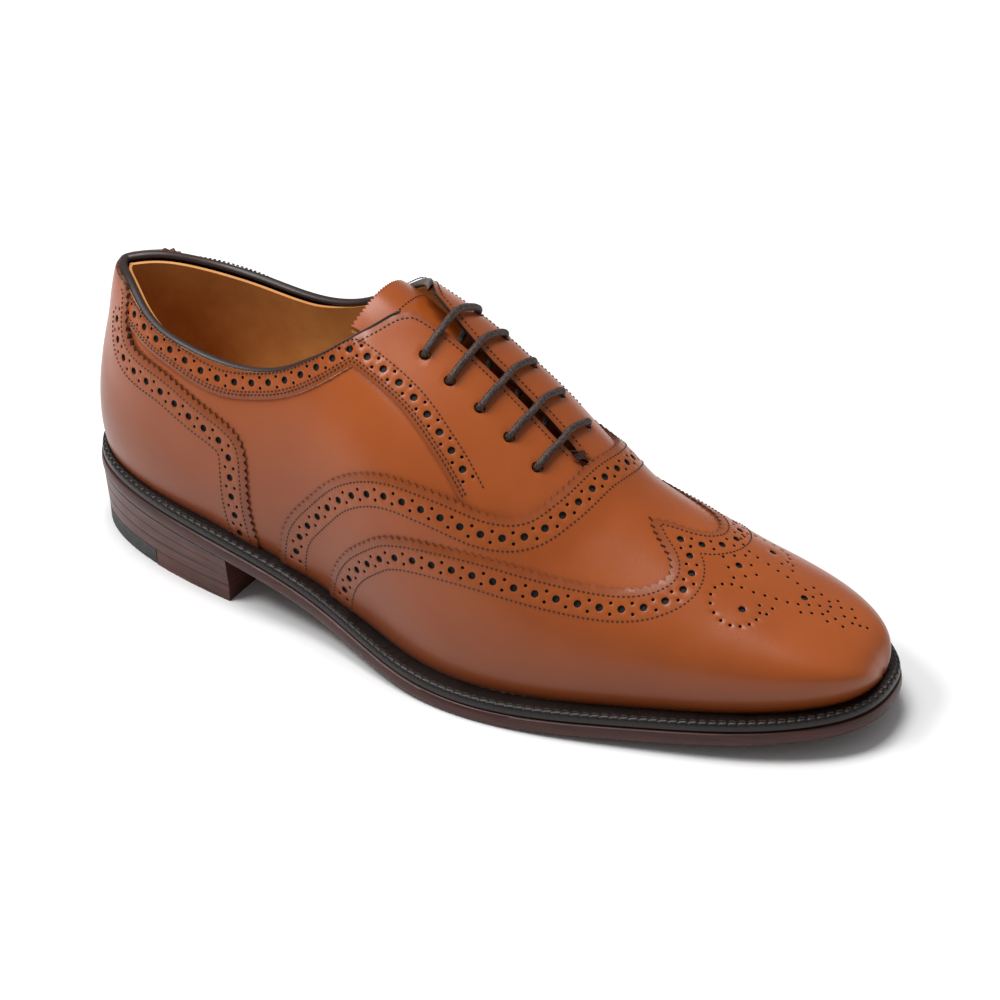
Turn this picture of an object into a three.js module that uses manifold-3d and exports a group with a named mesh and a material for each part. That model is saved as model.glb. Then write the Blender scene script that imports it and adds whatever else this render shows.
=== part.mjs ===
// Full-brogue oxford shoe for the right foot, in millimetres, +Z up, toe along +X, outer side along -Y.
// The upper is one smooth last surface; every leather panel is a plate cut from it along seam curves.
import * as THREE from "three";
import { mergeVertices } from "three/addons/utils/BufferGeometryUtils.js";
import Module from "manifold-3d";

const wasm = await Module();
wasm.setup();

// ---- Driving dimensions -------------------------------------------------------------------------
const SOLE_T = 5.0; // leather outsole
const WELT_TOP = 8.7; // top of the welt above the underside of the outsole
const FEATHER = 9.0; // height of the last's lower edge above the underside of the outsole
const LEATHER = 1.3; // upper leather
const LINING = 1.0; // lining leather
const GAP = 0.35; // air left between touching pieces
const TOP_PIECE = 6.0; // bottom layer of the heel
const BREAST_Q = 2.98; // station of the front face of the heel
const LACE_D = 2.5;
// Course of a lace bar from its eyelet to the throat: [share of the way, height over the facing].
const LACE_BAR = [[0.05, 1.15], [0.2, 1.75], [0.5, 1.8], [0.85, 1.95]];
const CENTRE_X = 150.05; // from the origin of the outline, at the heel, to the middle of the length
const CENTRE_Y = 2.3;

// Plan outline of the outsole, from the back of the heel (station 0) to the toe tip (station 10).
const OUTLINE_OUTER = [
  [0, 4.5], [8.5, -16.8], [36, -32], [75, -39.3], [114, -43.2], [153.8, -53.5],
  [193.5, -53.7], [235, -42.5], [272.2, -28.2], [296.5, -7.8], [299.5, 13],
];
const OUTLINE_INNER = [
  [8, 21], [35.5, 34.5], [75.5, 32.1], [115.4, 28.2], [155.2, 30.7],
  [194.8, 43], [234.2, 50.7], [268.7, 45], [292.1, 28.2],
];
// Height of the underside of the outsole every 38 mm from the heel: heel pitch, then toe spring.
const SOLE_UNDERSIDE = [21.3, 19.4, 16.4, 8.8, 1.3, 0.3, 2.6, 5.4, 8.8];
// How far the last's lower edge lies inside the outsole's outline, at each station.
const MARGIN = [2.1, 2.6, 3.6, 5.4, 6.2, 6.9, 7.2, 6.9, 6.3, 5.2, 4.4];
// Crest of the last: share of the width where it lies, and height above the lower edge.
const CREST_OUTER = [0.5, 0.444, 0.288, 0.388, 0.541, 0.657, 0.566, 0.447, 0.398, 0.416, 0.456];
const CREST_INNER = [0.5, 0.395, 0.223, 0.159, 0.168, 0.295];
const CREST_HEIGHT = [82, 85.2, 89.4, 96.3, 101.8, 87.2, 60.2, 39, 23.6, 12.4, 0];
const CREST_FORWARD = [8.7, 5.2, 1.7, 0.8, 0, 0, 0, 0, 0, 0.6, 0];
const THROAT_FOOT_Q = 5.95; // station where the two halves of the upper meet
// Fullness of the sides: handles of the cross-section curves at the lower edge and at the crest.
const SIDE_RISE = [28.3, 28.3, 28.2, 28.1, 30, 30.7, 26.3, 21.7, 17, 10.8, 0];
const SIDE_LEAN = [6.4, 6.4, 5.5, 4.7, 4.8, 5.8, 6.8, 6.4, 6.4, 4.4, 0];
const CREST_REACH = [21.5, 25.1, 28.8, 33.8, 41, 42, 31.5, 25.5, 22.8, 15.5, 0];
const CREST_TILT = [86.3, 84.4, 78.4, 67.5, 39, 4, 0, 0, 0, 0, 0];

// ---- Seam curves, as [station, share of the way from the lower edge to the crest] ---------------
const TOPLINE = [
  [0, 0.727], [0.7, 0.725], [1.35, 0.713], [1.6, 0.69], [2, 0.649], [2.34, 0.628],
  [2.7, 0.615], [3.14, 0.628], [3.39, 0.66], [3.63, 0.714], [3.85, 0.775], [4.04, 0.845],
  [4.19, 0.912], [4.3, 0.967], [4.38, 0.99],
];
const THROAT = [
  [4.38, 0.995], [4.6, 1.001], [4.86, 1], [5.14, 0.994], [5.4, 0.988], [5.7, 0.984],
  [5.88, 0.99],
];
const COLLAR_LOW = [
  [1.6, 0.59], [2, 0.562], [2.27, 0.544], [2.55, 0.521], [2.83, 0.515], [3.24, 0.553],
  [3.45, 0.584], [3.65, 0.627], [3.84, 0.68], [4.1, 0.772],
];
const FACING_REAR = [
  [4.1, 0.772], [4.34, 0.761], [4.67, 0.732], [4.9, 0.691], [5.15, 0.638], [5.32, 0.593],
];
const VAMP_EDGE = [
  [3.5, 0.02], [3.54, 0.12], [3.61, 0.2], [3.74, 0.278], [3.88, 0.345], [4.07, 0.425],
  [4.36, 0.503], [4.68, 0.55], [5, 0.572], [5.32, 0.593], [5.5, 0.607], [5.64, 0.629],
  [5.74, 0.655], [5.82, 0.692], [5.88, 0.75], [5.93, 0.83], [5.95, 0.92], [5.95, 1],
];
const CAP_EDGE = [
  [4.02, 0.02], [4.09, 0.114], [4.18, 0.185], [4.31, 0.252], [4.46, 0.307], [4.63, 0.358],
  [4.86, 0.399], [5.24, 0.444], [5.6, 0.485], [6, 0.527], [6.35, 0.567], [6.6, 0.605],
  [6.8, 0.662], [6.91, 0.73], [6.95, 0.8], [6.86, 0.889], [6.7, 0.94], [6.55, 1],
];
const COUNTER_EDGE = [
  [0, 0.727], [0.7, 0.725], [1.25, 0.716], [1.46, 0.703], [1.51, 0.66], [1.56, 0.605],
  [1.65, 0.56], [1.83, 0.533], [2.22, 0.514], [2.64, 0.462], [2.94, 0.428], [3.06, 0.403],
  [3.13, 0.367], [3.17, 0.3], [3.2, 0.174], [3.23, 0.096], [3.26, 0.02],
];
const EYELETS_OUTER = [[4.61, 0.909], [4.86, 0.887], [5.14, 0.875], [5.42, 0.862], [5.7, 0.848]];
const EYELETS_INNER = [[4.58, 0.86], [4.84, 0.85], [5.12, 0.845], [5.4, 0.84], [5.68, 0.84]];

// ---- Curves -------------------------------------------------------------------------------------
// Natural cubic spline through numbers spaced one station apart, mirrored about station 0.
function spline(values, lead = values.slice(1, 4).reverse(), tail = []) {
  const y = [...lead, ...values, ...tail];
  const n = y.length;
  const bend = new Array(n).fill(0);
  const upper = new Array(n).fill(0);
  for (let i = 1; i < n - 1; i++) {
    const pivot = 4 - upper[i - 1];
    upper[i] = 1 / pivot;
    bend[i] = (6 * (y[i + 1] - 2 * y[i] + y[i - 1]) - bend[i - 1]) / pivot;
  }
  for (let i = n - 2; i > 0; i--) bend[i] -= upper[i] * bend[i + 1];
  return (t) => {
    const u = Math.min(Math.max(t + lead.length, 0), n - 1);
    const i = Math.min(Math.floor(u), n - 2);
    const r = u - i;
    const s = 1 - r;
    return s * y[i] + r * y[i + 1]
      + ((s * s * s - s) * bend[i] + (r * r * r - r) * bend[i + 1]) / 6;
  };
}

function closedSpline(values) {
  return spline(values, values.slice(-5), values.slice(0, 6));
}

const loop = [...OUTLINE_OUTER, ...[...OUTLINE_INNER].reverse()];
const loopX = closedSpline(loop.map((p) => p[0]));
const loopY = closedSpline(loop.map((p) => p[1]));
const undersideByStep = spline(SOLE_UNDERSIDE, []);
const underside = (x) => undersideByStep(x / 38);
const margin = spline(MARGIN);
const crestOuter = spline(CREST_OUTER);
const crestInner = spline(CREST_INNER);
const crestHeight = spline(CREST_HEIGHT);
const crestForward = spline(CREST_FORWARD);
const sideRise = spline(SIDE_RISE);
const sideLean = spline(SIDE_LEAN);
const crestReach = spline(CREST_REACH);
const crestTilt = spline(CREST_TILT);

const vec = (x, y, z) => new THREE.Vector3(x, y, z);
const mix = (a, b, t) => a + (b - a) * t;
// side is -1 for the outer half and 1 for the inner half.
const loopStation = (side, q) => (side < 0 ? q : 20 - q);

function outward(side, q) {
  const u = loopStation(side, q);
  const dx = loopX(u + 0.001) - loopX(u - 0.001);
  const dy = loopY(u + 0.001) - loopY(u - 0.001);
  const length = Math.hypot(dx, dy);
  return vec(dy / length, -dx / length, 0);
}

// A point on the outsole's outline, moved in by inset.
function outline(side, q, inset) {
  const u = loopStation(side, q);
  const out = outward(side, q);
  return vec(loopX(u) - out.x * inset, loopY(u) - out.y * inset, 0);
}

function lowerEdge(side, q) {
  const p = outline(side, q, margin(q));
  p.z = underside(p.x) + FEATHER;
  return p;
}

// Share of the width between the two crests where the throat closes, ahead of station 5.
function throatOpening(q) {
  const closed = Math.min((q - 5) / (THROAT_FOOT_Q - 5), 1);
  return (1 - crestOuter(5) - crestInner(5)) * (1 - closed) ** 2;
}

function crest(side, q) {
  const near = lowerEdge(side, q);
  const far = lowerEdge(-side, q);
  let share = side < 0 ? crestOuter(q) : crestInner(q);
  if (side > 0 && q >= 5) share = 1 - crestOuter(q) - throatOpening(q);
  const p = near.clone().lerp(far, share);
  p.z += crestHeight(q);
  p.x += crestForward(q);
  return p;
}

// The last surface: a cubic from the lower edge (v = 0) to the crest (v = 1).
function lastPoint(side, q, v) {
  const foot = lowerEdge(side, q);
  const top = crest(side, q);
  const out = outward(side, q);
  const low = foot.clone().addScaledVector(out, sideLean(q));
  low.z += sideRise(q);
  const across = vec(top.x - foot.x, top.y - foot.y, 0).addScaledVector(out, -0.01).normalize();
  const tilt = THREE.MathUtils.degToRad(crestTilt(q));
  const high = top.clone().addScaledVector(across, -crestReach(q) * Math.cos(tilt));
  high.z -= crestReach(q) * Math.sin(tilt);
  const s = 1 - v;
  return foot.multiplyScalar(s * s * s).addScaledVector(low, 3 * s * s * v)
    .addScaledVector(high, 3 * s * v * v).addScaledVector(top, v * v * v);
}

function lastNormal(side, q, v) {
  const a = Math.min(Math.max(q, 0.02), 9.95);
  const b = Math.min(Math.max(v, 0.006), 0.994);
  const alongQ = lastPoint(side, a + 0.01, b).sub(lastPoint(side, a - 0.01, b));
  const alongV = lastPoint(side, a, b + 0.005).sub(lastPoint(side, a, b - 0.005));
  return alongQ.cross(alongV).normalize().multiplyScalar(-side);
}

// A point of the last surface lifted by height along its normal.
function onLast(side, q, v, height) {
  return lastPoint(side, q, v).addScaledVector(lastNormal(side, q, v), height);
}
// The same with w running from -1 at the outer lower edge over the crest to 1 at the inner one.
function acrossLast(q, w, height) {
  return onLast(w < 0 ? -1 : 1, q, 1 - Math.abs(w), height);
}

// Value of a polyline of pairs at x, with the pairs ordered by their column xi.
function along(pairs, x, xi = 0) {
  const yi = 1 - xi;
  let i = 1;
  while (i < pairs.length - 1 && pairs[i][xi] < x) i++;
  const [a, b] = [pairs[i - 1], pairs[i]];
  const t = Math.min(Math.max((x - a[xi]) / (b[xi] - a[xi]), 0), 1);
  return mix(a[yi], b[yi], t);
}

// A seam moved sideways by distance millimetres over the surface, to the left of its direction.
function shifted(seam, side, distance) {
  return seam.map(([q, v], i) => {
    const [q0, v0] = seam[Math.max(i - 1, 0)];
    const [q1, v1] = seam[Math.min(i + 1, seam.length - 1)];
    const qq = Math.min(Math.max(q, 0.02), 9.9);
    const vv = Math.min(Math.max(v, 0.01), 0.99);
    const here = lastPoint(side, qq, vv);
    const stepQ = lastPoint(side, qq + 0.01, vv).sub(here).multiplyScalar(100);
    const stepV = lastPoint(side, qq, vv + 0.01).sub(here).multiplyScalar(100);
    const dir = stepQ.clone().multiplyScalar(q1 - q0).addScaledVector(stepV, v1 - v0).normalize();
    const left = stepQ.clone().cross(stepV).normalize().cross(dir).multiplyScalar(distance);
    const a = stepQ.dot(stepQ);
    const b = stepQ.dot(stepV);
    const c = stepV.dot(stepV);
    const e = left.dot(stepQ);
    const f = left.dot(stepV);
    const det = a * c - b * b;
    return [q + (e * c - b * f) / det, v + (a * f - b * e) / det];
  });
}

// Running length of a polyline over the surface, as shares of the whole.
function shares(points) {
  const length = [0];
  for (let i = 1; i < points.length; i++) {
    const dq = (points[i][0] - points[i - 1][0]) * 38;
    const dv = (points[i][1] - points[i - 1][1]) * 90;
    length.push(length[i - 1] + Math.hypot(dq, dv));
  }
  return length.map((d) => d / length.at(-1));
}

function pointAt(points, marks, share) {
  let i = 1;
  while (i < points.length - 1 && marks[i] < share) i++;
  const t = (share - marks[i - 1]) / (marks[i] - marks[i - 1]);
  return [mix(points[i - 1][0], points[i][0], t), mix(points[i - 1][1], points[i][1], t)];
}

// Pairs of points of two polylines at equal shares of their length, through every corner of both.
function pairUp(low, high) {
  const [a, b] = [shares(low), shares(high)];
  const all = [...a, ...b].sort((x, y) => x - y);
  const marks = all.filter((m, i) => i === 0 || m - all[i - 1] > 0.004 || i === all.length - 1);
  return marks.map((m) => [pointAt(low, a, m), pointAt(high, b, m)]);
}

// The part of a polyline between two stations.
function between(points, q0, q1) {
  const inside = points.filter(([q]) => q > q0 + 0.02 && q < q1 - 0.02);
  return [[q0, along(points, q0)], ...inside, [q1, along(points, q1)]];
}

// ---- Solids -------------------------------------------------------------------------------------
// A welded, closed geometry from polygons given as arrays of points; it always faces out.
function solid(polygons) {
  const index = new Map();
  const positions = [];
  const faces = [];
  const idOf = (p) => {
    const key = [p.x, p.y, p.z].map((c) => Math.round(c * 1000)).join();
    if (!index.has(key)) {
      index.set(key, positions.length / 3);
      positions.push(p.x, p.y, p.z);
    }
    return index.get(key);
  };
  for (const polygon of polygons) {
    const ids = polygon.map(idOf);
    for (let k = 1; k < ids.length - 1; k++) {
      const [a, b, c] = [ids[0], ids[k], ids[k + 1]];
      if (a !== b && b !== c && a !== c) faces.push([a, b, c]);
    }
  }
  const at = (i) => vec(positions[3 * i], positions[3 * i + 1], positions[3 * i + 2]);
  let volume = 0;
  for (const [a, b, c] of faces) volume += at(a).dot(at(b).cross(at(c)));
  if (volume < 0) faces.forEach((f) => f.reverse());
  const geometry = new THREE.BufferGeometry();
  geometry.setAttribute("position", new THREE.Float32BufferAttribute(positions, 3));
  geometry.setIndex(faces.flat());
  return geometry;
}

// A plate between two grids of points with the same rows and columns.
function plate(outer, inner) {
  const rows = outer.length - 1;
  const columns = outer[0].length - 1;
  const polygons = [];
  for (let i = 0; i < rows; i++) {
    for (let j = 0; j < columns; j++) {
      polygons.push([outer[i][j], outer[i + 1][j], outer[i + 1][j + 1]]);
      polygons.push([outer[i][j], outer[i + 1][j + 1], outer[i][j + 1]]);
      polygons.push([inner[i][j], inner[i + 1][j + 1], inner[i + 1][j]]);
      polygons.push([inner[i][j], inner[i][j + 1], inner[i + 1][j + 1]]);
    }
  }
  for (let i = 0; i < rows; i++) {
    polygons.push([outer[i + 1][0], outer[i][0], inner[i][0], inner[i + 1][0]]);
    const j = columns;
    polygons.push([outer[i][j], outer[i + 1][j], inner[i + 1][j], inner[i][j]]);
  }
  for (let j = 0; j < columns; j++) {
    polygons.push([outer[0][j], outer[0][j + 1], inner[0][j + 1], inner[0][j]]);
    const i = rows;
    polygons.push([outer[i][j + 1], outer[i][j], inner[i][j], inner[i][j + 1]]);
  }
  return solid(polygons);
}

// A bar through a row of cross-sections; closed joins the last section to the first.
function bar(sections, closed) {
  const polygons = [];
  const last = closed ? sections.length : sections.length - 1;
  for (let i = 0; i < last; i++) {
    const a = sections[i];
    const b = sections[(i + 1) % sections.length];
    a.forEach((_, k) => {
      const m = (k + 1) % a.length;
      polygons.push([a[k], b[k], b[m]]);
      polygons.push([a[k], b[m], a[m]]);
    });
  }
  if (!closed) {
    polygons.push([...sections[0]]);
    polygons.push([...sections.at(-1)].reverse());
  }
  return solid(polygons);
}

// A panel ruled between pairs of points on one side, between two heights off the last.
function ruled(side, pairs, rows, top, bottom) {
  const grid = (height) => pairs.map(([low, high]) =>
    Array.from({ length: rows + 1 }, (_, j) => {
      const q = mix(low[0], high[0], j / rows);
      return onLast(side, q, mix(low[1], high[1], j / rows), height(q, mix(low[1], high[1], j / rows)));
    }));
  return plate(grid(top), grid(bottom));
}

// A panel that crosses the crest, between a rear and a front seam, at the given shares of each side.
function saddle(rear, front, steps, rows, top, bottom) {
  const ws = [...steps.map((v) => v - 1), ...[...steps].reverse().slice(1).map((v) => 1 - v)];
  const grid = (height) => ws.map((w) => {
    const v = 1 - Math.abs(w);
    const [q0, q1] = [along(rear, v, 1), along(front, v, 1)];
    return Array.from({ length: rows + 1 }, (_, j) => {
      const q = mix(q0, q1, j / rows);
      return acrossLast(q, w, height(q, v));
    });
  });
  return plate(grid(top), grid(bottom));
}

// A flat layer inside the outsole's outline, with heights given above the floor.
function layer(q0, q1, inset, bottom, top, columns = 24) {
  const grid = (height) => Array.from({ length: columns + 1 }, (_, i) => {
    const t = i / columns;
    const ends = (1 - Math.cos(Math.PI * t)) / 2;
    const q = mix(q0, q1, mix(t, ends, 0.5));
    const a = outline(-1, q, inset(q));
    const b = outline(1, q, inset(q));
    return [0, 1 / 3, 2 / 3, 1].map((s) => {
      const p = a.clone().lerp(b, s);
      p.z = height(p.x);
      return p;
    });
  });
  return plate(grid(top), grid(bottom));
}

// A closed ring that follows the outline between two insets and two heights over the underside.
function ring(outer, inner, low, high, count) {
  const sections = Array.from({ length: count }, (_, i) => {
    const u = (20 * i) / count;
    const side = u <= 10 ? -1 : 1;
    const q = u <= 10 ? u : 20 - u;
    const a = outline(side, q, outer(q));
    const b = outline(side, q, inner(q));
    const at = (p, h) => vec(p.x, p.y, underside(p.x) + h);
    return [at(a, low), at(b, low), at(b, high), at(a, high)];
  });
  return bar(sections, true);
}

function toManifold(geometry) {
  const plain = geometry.index ? geometry.toNonIndexed() : geometry.clone();
  plain.deleteAttribute("normal");
  plain.deleteAttribute("uv");
  const merged = mergeVertices(plain, 1e-3);
  return new wasm.Manifold(new wasm.Mesh({
    numProp: 3,
    vertProperties: merged.attributes.position.array,
    triVerts: new Uint32Array(merged.index.array),
  }));
}

function toGeometry(manifold) {
  const mesh = manifold.getMesh();
  const geometry = new THREE.BufferGeometry();
  geometry.setAttribute("position", new THREE.BufferAttribute(mesh.vertProperties, 3));
  geometry.setIndex(new THREE.BufferAttribute(mesh.triVerts, 1));
  return geometry;
}

function minus(geometry, tools) {
  let result = toManifold(geometry);
  for (const tool of tools) result = result.subtract(toManifold(tool));
  return toGeometry(result);
}

// ---- The shoe -----------------------------------------------------------------------------------
const shoe = new THREE.Group();
shoe.name = "oxford_shoe";
shoe.position.set(-CENTRE_X, CENTRE_Y, 0);

function add(name, geometry, color, roughness, metalness = 0) {
  const material = new THREE.MeshStandardMaterial({ color, roughness, metalness });
  geometry.computeVertexNormals();
  const mesh = new THREE.Mesh(geometry, material);
  mesh.name = name;
  shoe.add(mesh);
  return mesh;
}

const TAN = 0x9c4f26;
const BAND = 0xa2542a;
const LINING_TAN = 0xb08048;
const EDGE_BROWN = 0x3a2018;
const WELT_BROWN = 0x1c1310;
const LIFT_BROWN = 0x4a2c22;
const flat = (value) => () => value;

// Bottom unit. Heights above the floor.
const soleBottom = (x) => underside(x);
add("outsole", layer(0, 10, flat(0), soleBottom, (x) => underside(x) + SOLE_T, 30), EDGE_BROWN, 0.45);
const feather = (q) => margin(q);
add("welt", ring(flat(0.6), (q) => feather(q) + 1.6, SOLE_T + GAP, WELT_TOP, 56), WELT_BROWN, 0.5);
add("insole_rib", ring((q) => feather(q) + 3.4, (q) => feather(q) + 6.2, SOLE_T + GAP, 8.2, 44),
  0xc8a878, 0.8);
add("insole", layer(0, 10, (q) => feather(q) + 5.3, (x) => underside(x) + 8.6,
  (x) => underside(x) + 11.2, 22), 0xb88a55, 0.7);
add("cork_filler", layer(4.7, 10, (q) => feather(q) + 6.8, (x) => underside(x) + 5.4,
  (x) => underside(x) + 8.1, 12), 0xa87c50, 0.9);
add("shank", bar([46, 66, 88, 110, 132].map((x) => {
  const y = mix(-1, -9, (x - 46) / 86);
  const z = underside(x);
  return [vec(x, y - 8, z + 5.6), vec(x, y + 8, z + 5.6), vec(x, y + 8, z + 7.6), vec(x, y - 8, z + 7.6)];
}), false), 0x9a9da0, 0.35, 0.9);
add("heel_sock", layer(0, 3.5, (q) => feather(q) + 5.9, (x) => underside(x) + 11.5,
  (x) => underside(x) + 12.5, 12), LINING_TAN, 0.6);

// Heel: three tapered leather lifts over a rubber and leather top piece.
const heelTop = (x) => underside(x) - GAP;
const liftBase = TOP_PIECE + GAP;
const lift = (share) => (x) => mix(liftBase, heelTop(x), share);
for (let k = 0; k < 3; k++) {
  const bottom = lift(k / 3);
  const top = lift((k + 1) / 3);
  add(`heel_lift_${k + 1}`, layer(0, BREAST_Q, flat(1.2 - 0.4 * k),
    k ? (x) => bottom(x) + GAP : bottom, top, 12), LIFT_BROWN, 0.5);
}
add("heel_tip_rubber", layer(0, 2.1, flat(1.6), flat(0), flat(TOP_PIECE), 9), 0x3b3a3b, 0.7);
add("heel_tip_leather", layer(2.112, BREAST_Q, flat(1.6), flat(0), flat(TOP_PIECE), 4),
  LIFT_BROWN, 0.55);

// Depths below the outer face of the upper. Stiffeners lie between upper and lining at both ends,
// and the lining runs closer to the facings, where the lace passes under them.
const smooth = (t) => THREE.MathUtils.smoothstep(t, 0, 1);
const LAYER_GAP = 0.8;
const STIFFENER = 0.6;
const THROAT_LIFT = 0.1; // the lining lies this much closer to the facings,
const THROAT_SKIVE = 0.2; // and is this much thinner there
const atEnds = (q) => 1 - smooth((q - 2.9) / 0.4) + smooth((q - 7.2) / 0.5);
const underFacing = (q, v) => smooth((v - 0.66) / 0.12) * smooth((q - 3.6) / 0.4);
const liningDepth = (q, v) => LEATHER + LAYER_GAP + (STIFFENER + LAYER_GAP) * atEnds(q)
  - THROAT_LIFT * underFacing(q, v);
const face = flat(0);
const back = flat(-LEATHER);
const liningFace = (q, v) => -liningDepth(q, v);
const liningBack = (q, v) => -liningDepth(q, v) - LINING + THROAT_SKIVE * underFacing(q, v);
const stiffFace = flat(-LEATHER - LAYER_GAP);
const stiffBack = flat(-LEATHER - LAYER_GAP - STIFFENER);
const HALF_GAP = 0.2;

const stepsOf = (...seams) => {
  const all = seams.flat().map(([, v]) => v).filter((v) => v > 0.03).sort((x, y) => x - y);
  return [0.02, ...all.filter((v, i) => i === all.length - 1 || all[i + 1] - v > 0.012)];
};
const TIP = [[10, 0], [10, 1]];
add("wing_cap", saddle(shifted(CAP_EDGE, -1, -HALF_GAP), TIP, stepsOf(CAP_EDGE), 13, face, back),
  TAN, 0.35);
add("vamp", saddle(shifted(VAMP_EDGE, -1, -HALF_GAP), shifted(CAP_EDGE, -1, HALF_GAP),
  stepsOf(CAP_EDGE, VAMP_EDGE), 4, face, back), TAN, 0.35);
const THROAT_FOOT = [[5.97, 0.02], [5.97, 1]];
add("vamp_lining", saddle(THROAT_FOOT, TIP, [0.02, 0.1, 0.2, 0.3, 0.4, 0.5, 0.6, 0.7, 0.8, 0.9, 1],
  10, liningFace, liningBack), LINING_TAN, 0.6);
add("toe_puff", saddle([[8.1, 0.02], [8.1, 1]], TIP, [0.02, 0.12, 0.25, 0.4, 0.6, 0.8, 1], 5,
  stiffFace, stiffBack), 0xd8cfb8, 0.8);

// Pieces that wrap round the heel: pairs of points on the outer half, then on the inner half.
function wrapped(pairs, rows, top, bottom) {
  const grid = (height) => {
    const line = (side, [low, high]) => Array.from({ length: rows + 1 }, (_, j) => {
      const q = mix(low[0], high[0], j / rows);
      const v = mix(low[1], high[1], j / rows);
      return onLast(side, q, v, height(q, v));
    });
    return [
      ...[...pairs].reverse().map((p) => line(-1, p)),
      ...pairs.slice(1).map((p) => line(1, p)),
    ];
  };
  return plate(grid(top), grid(bottom));
}

const counterTop = shifted(COUNTER_EDGE, -1, -HALF_GAP);
counterTop[0][0] = 0;
const counterLow = [0, 0.35, 0.7, 1.05, 1.4, 1.75, 2.2, 2.7, 3.22].map((q) => [q, 0.02]);
counterTop[counterTop.length - 1] = [3.235, 0.03];
add("counter", wrapped(pairUp(counterLow, counterTop), 5, face, back), TAN, 0.35);
const stiffenerStations = [0, 0.35, 0.7, 1.05, 1.4, 1.75, 2.1, 2.45, 2.8];
add("heel_stiffener", wrapped(stiffenerStations.map((q) => [[q, 0.03], [q, 0.44]]), 4,
  stiffFace, stiffBack), 0xd8cfb8, 0.8);

const eyelets = (side) => (side < 0 ? EYELETS_OUTER : EYELETS_INNER);
const eyeletTools = (side, radius) => eyelets(side).map(([q, v]) => {
  const drill = new THREE.CylinderGeometry(radius, radius, 9, 10);
  const turn = new THREE.Quaternion().setFromUnitVectors(vec(0, 1, 0), lastNormal(side, q, v));
  const at = onLast(side, q, v, -1.5);
  return drill.applyQuaternion(turn).translate(at.x, at.y, at.z);
});

const BACK_SEAM = 0.38; // top of the linings' edge beside the back seam
for (const [side, label] of [[-1, "outer"], [1, "inner"]]) {
  const collarLow = shifted(COLLAR_LOW, side, HALF_GAP).map(([q, v]) => [q - 0.01, v]);
  const collarTop = between(TOPLINE, 1.5, 4.03);
  add(`collar_band_${label}`, ruled(side, pairUp(collarLow, collarTop), 2, face, back), BAND, 0.4);

  // The quarter fills the room between counter, collar band, facing and vamp.
  const quarterLow = [
    ...shifted(COUNTER_EDGE, side, HALF_GAP).filter(([q]) => q > 1.8),
    ...shifted(VAMP_EDGE, side, HALF_GAP).filter(([q]) => q < 5.2),
    [5.26, 0.591],
  ];
  const quarterTop = [
    [1.83, along(COLLAR_LOW, 1.83) - 0.006],
    ...shifted(COLLAR_LOW, side, -HALF_GAP).slice(1),
    ...shifted(FACING_REAR, side, -HALF_GAP).slice(1, -1),
    [5.27, 0.599],
  ];
  add(`quarter_${label}`, ruled(side, pairUp(quarterLow, quarterTop), 4, face, back), TAN, 0.35);

  const facingLow = [
    ...shifted(FACING_REAR, side, HALF_GAP),
    ...shifted(VAMP_EDGE, side, HALF_GAP).filter(([q, v]) => q > 5.4 && v < 0.88),
    [5.925, 0.955],
  ];
  facingLow[0][0] = 4.115;
  const facingTop = [[4.075, 0.85], ...TOPLINE.slice(-3), ...THROAT.slice(1)];
  const facing = ruled(side, pairUp(facingLow, facingTop), 5, face, back);
  add(`facing_${label}`, minus(facing, eyeletTools(side, 1.9)), TAN, 0.35);

  const rimStations = [BACK_SEAM, 0.35, 0.7, 1.05, 1.4, 1.75, 2.1, 2.45, 2.8, 3.14, 3.4, 3.63, 3.85,
    4.04, 4.19, 4.3, 4.45, 4.6, 4.86, 5.14, 5.4, 5.65, 5.9];
  const rim = rimStations.map((q) => [q, along(q < 4.38 ? TOPLINE : THROAT, q) - 0.004]);
  const low = rim.map(([q]) => [q === BACK_SEAM ? BACK_SEAM / 2 : q, 0.02]);
  const lining = ruled(side, low.map((p, i) => [p, rim[i]]), 8, liningFace, liningBack);
  add(`quarter_lining_${label}`, minus(lining, eyeletTools(side, 2.5)), LINING_TAN, 0.6);
}

// Rolled binding that caps the topline from facing to facing round the back.
const bindingStations = [4.28, 4.16, 4.04, 3.85, 3.63, 3.39, 3.14, 2.9, 2.6, 2.33, 2, 1.7, 1.45, 1.2,
  0.9, 0.6, 0.3, 0];
const bindingSection = (side, q) => {
  const v = along(TOPLINE, q);
  const rise = lastPoint(side, q, v + 0.005).sub(lastPoint(side, q, v - 0.005)).normalize();
  const corner = (depth, height) => onLast(side, q, v, -depth).addScaledVector(rise, height);
  return [corner(0.1, 0.4), corner(2.6, 0.4), corner(2.3, 1.3), corner(0.5, 1.3)];
};
add("topline_binding", bar([
  ...bindingStations.map((q) => bindingSection(-1, q)),
  ...[...bindingStations].reverse().slice(1).map((q) => bindingSection(1, q)),
], false), 0x33211b, 0.5);

// Stitched bar that closes the foot of the throat.
const tackSection = (q) => [[-0.06, 0.5], [0.06, 0.5], [0.06, 1.2], [-0.06, 1.2]]
  .map(([w, height]) => acrossLast(q, w, height));
add("bar_tack", bar([tackSection(5.84), tackSection(5.89)], false), 0x2a1a14, 0.7);

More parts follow.
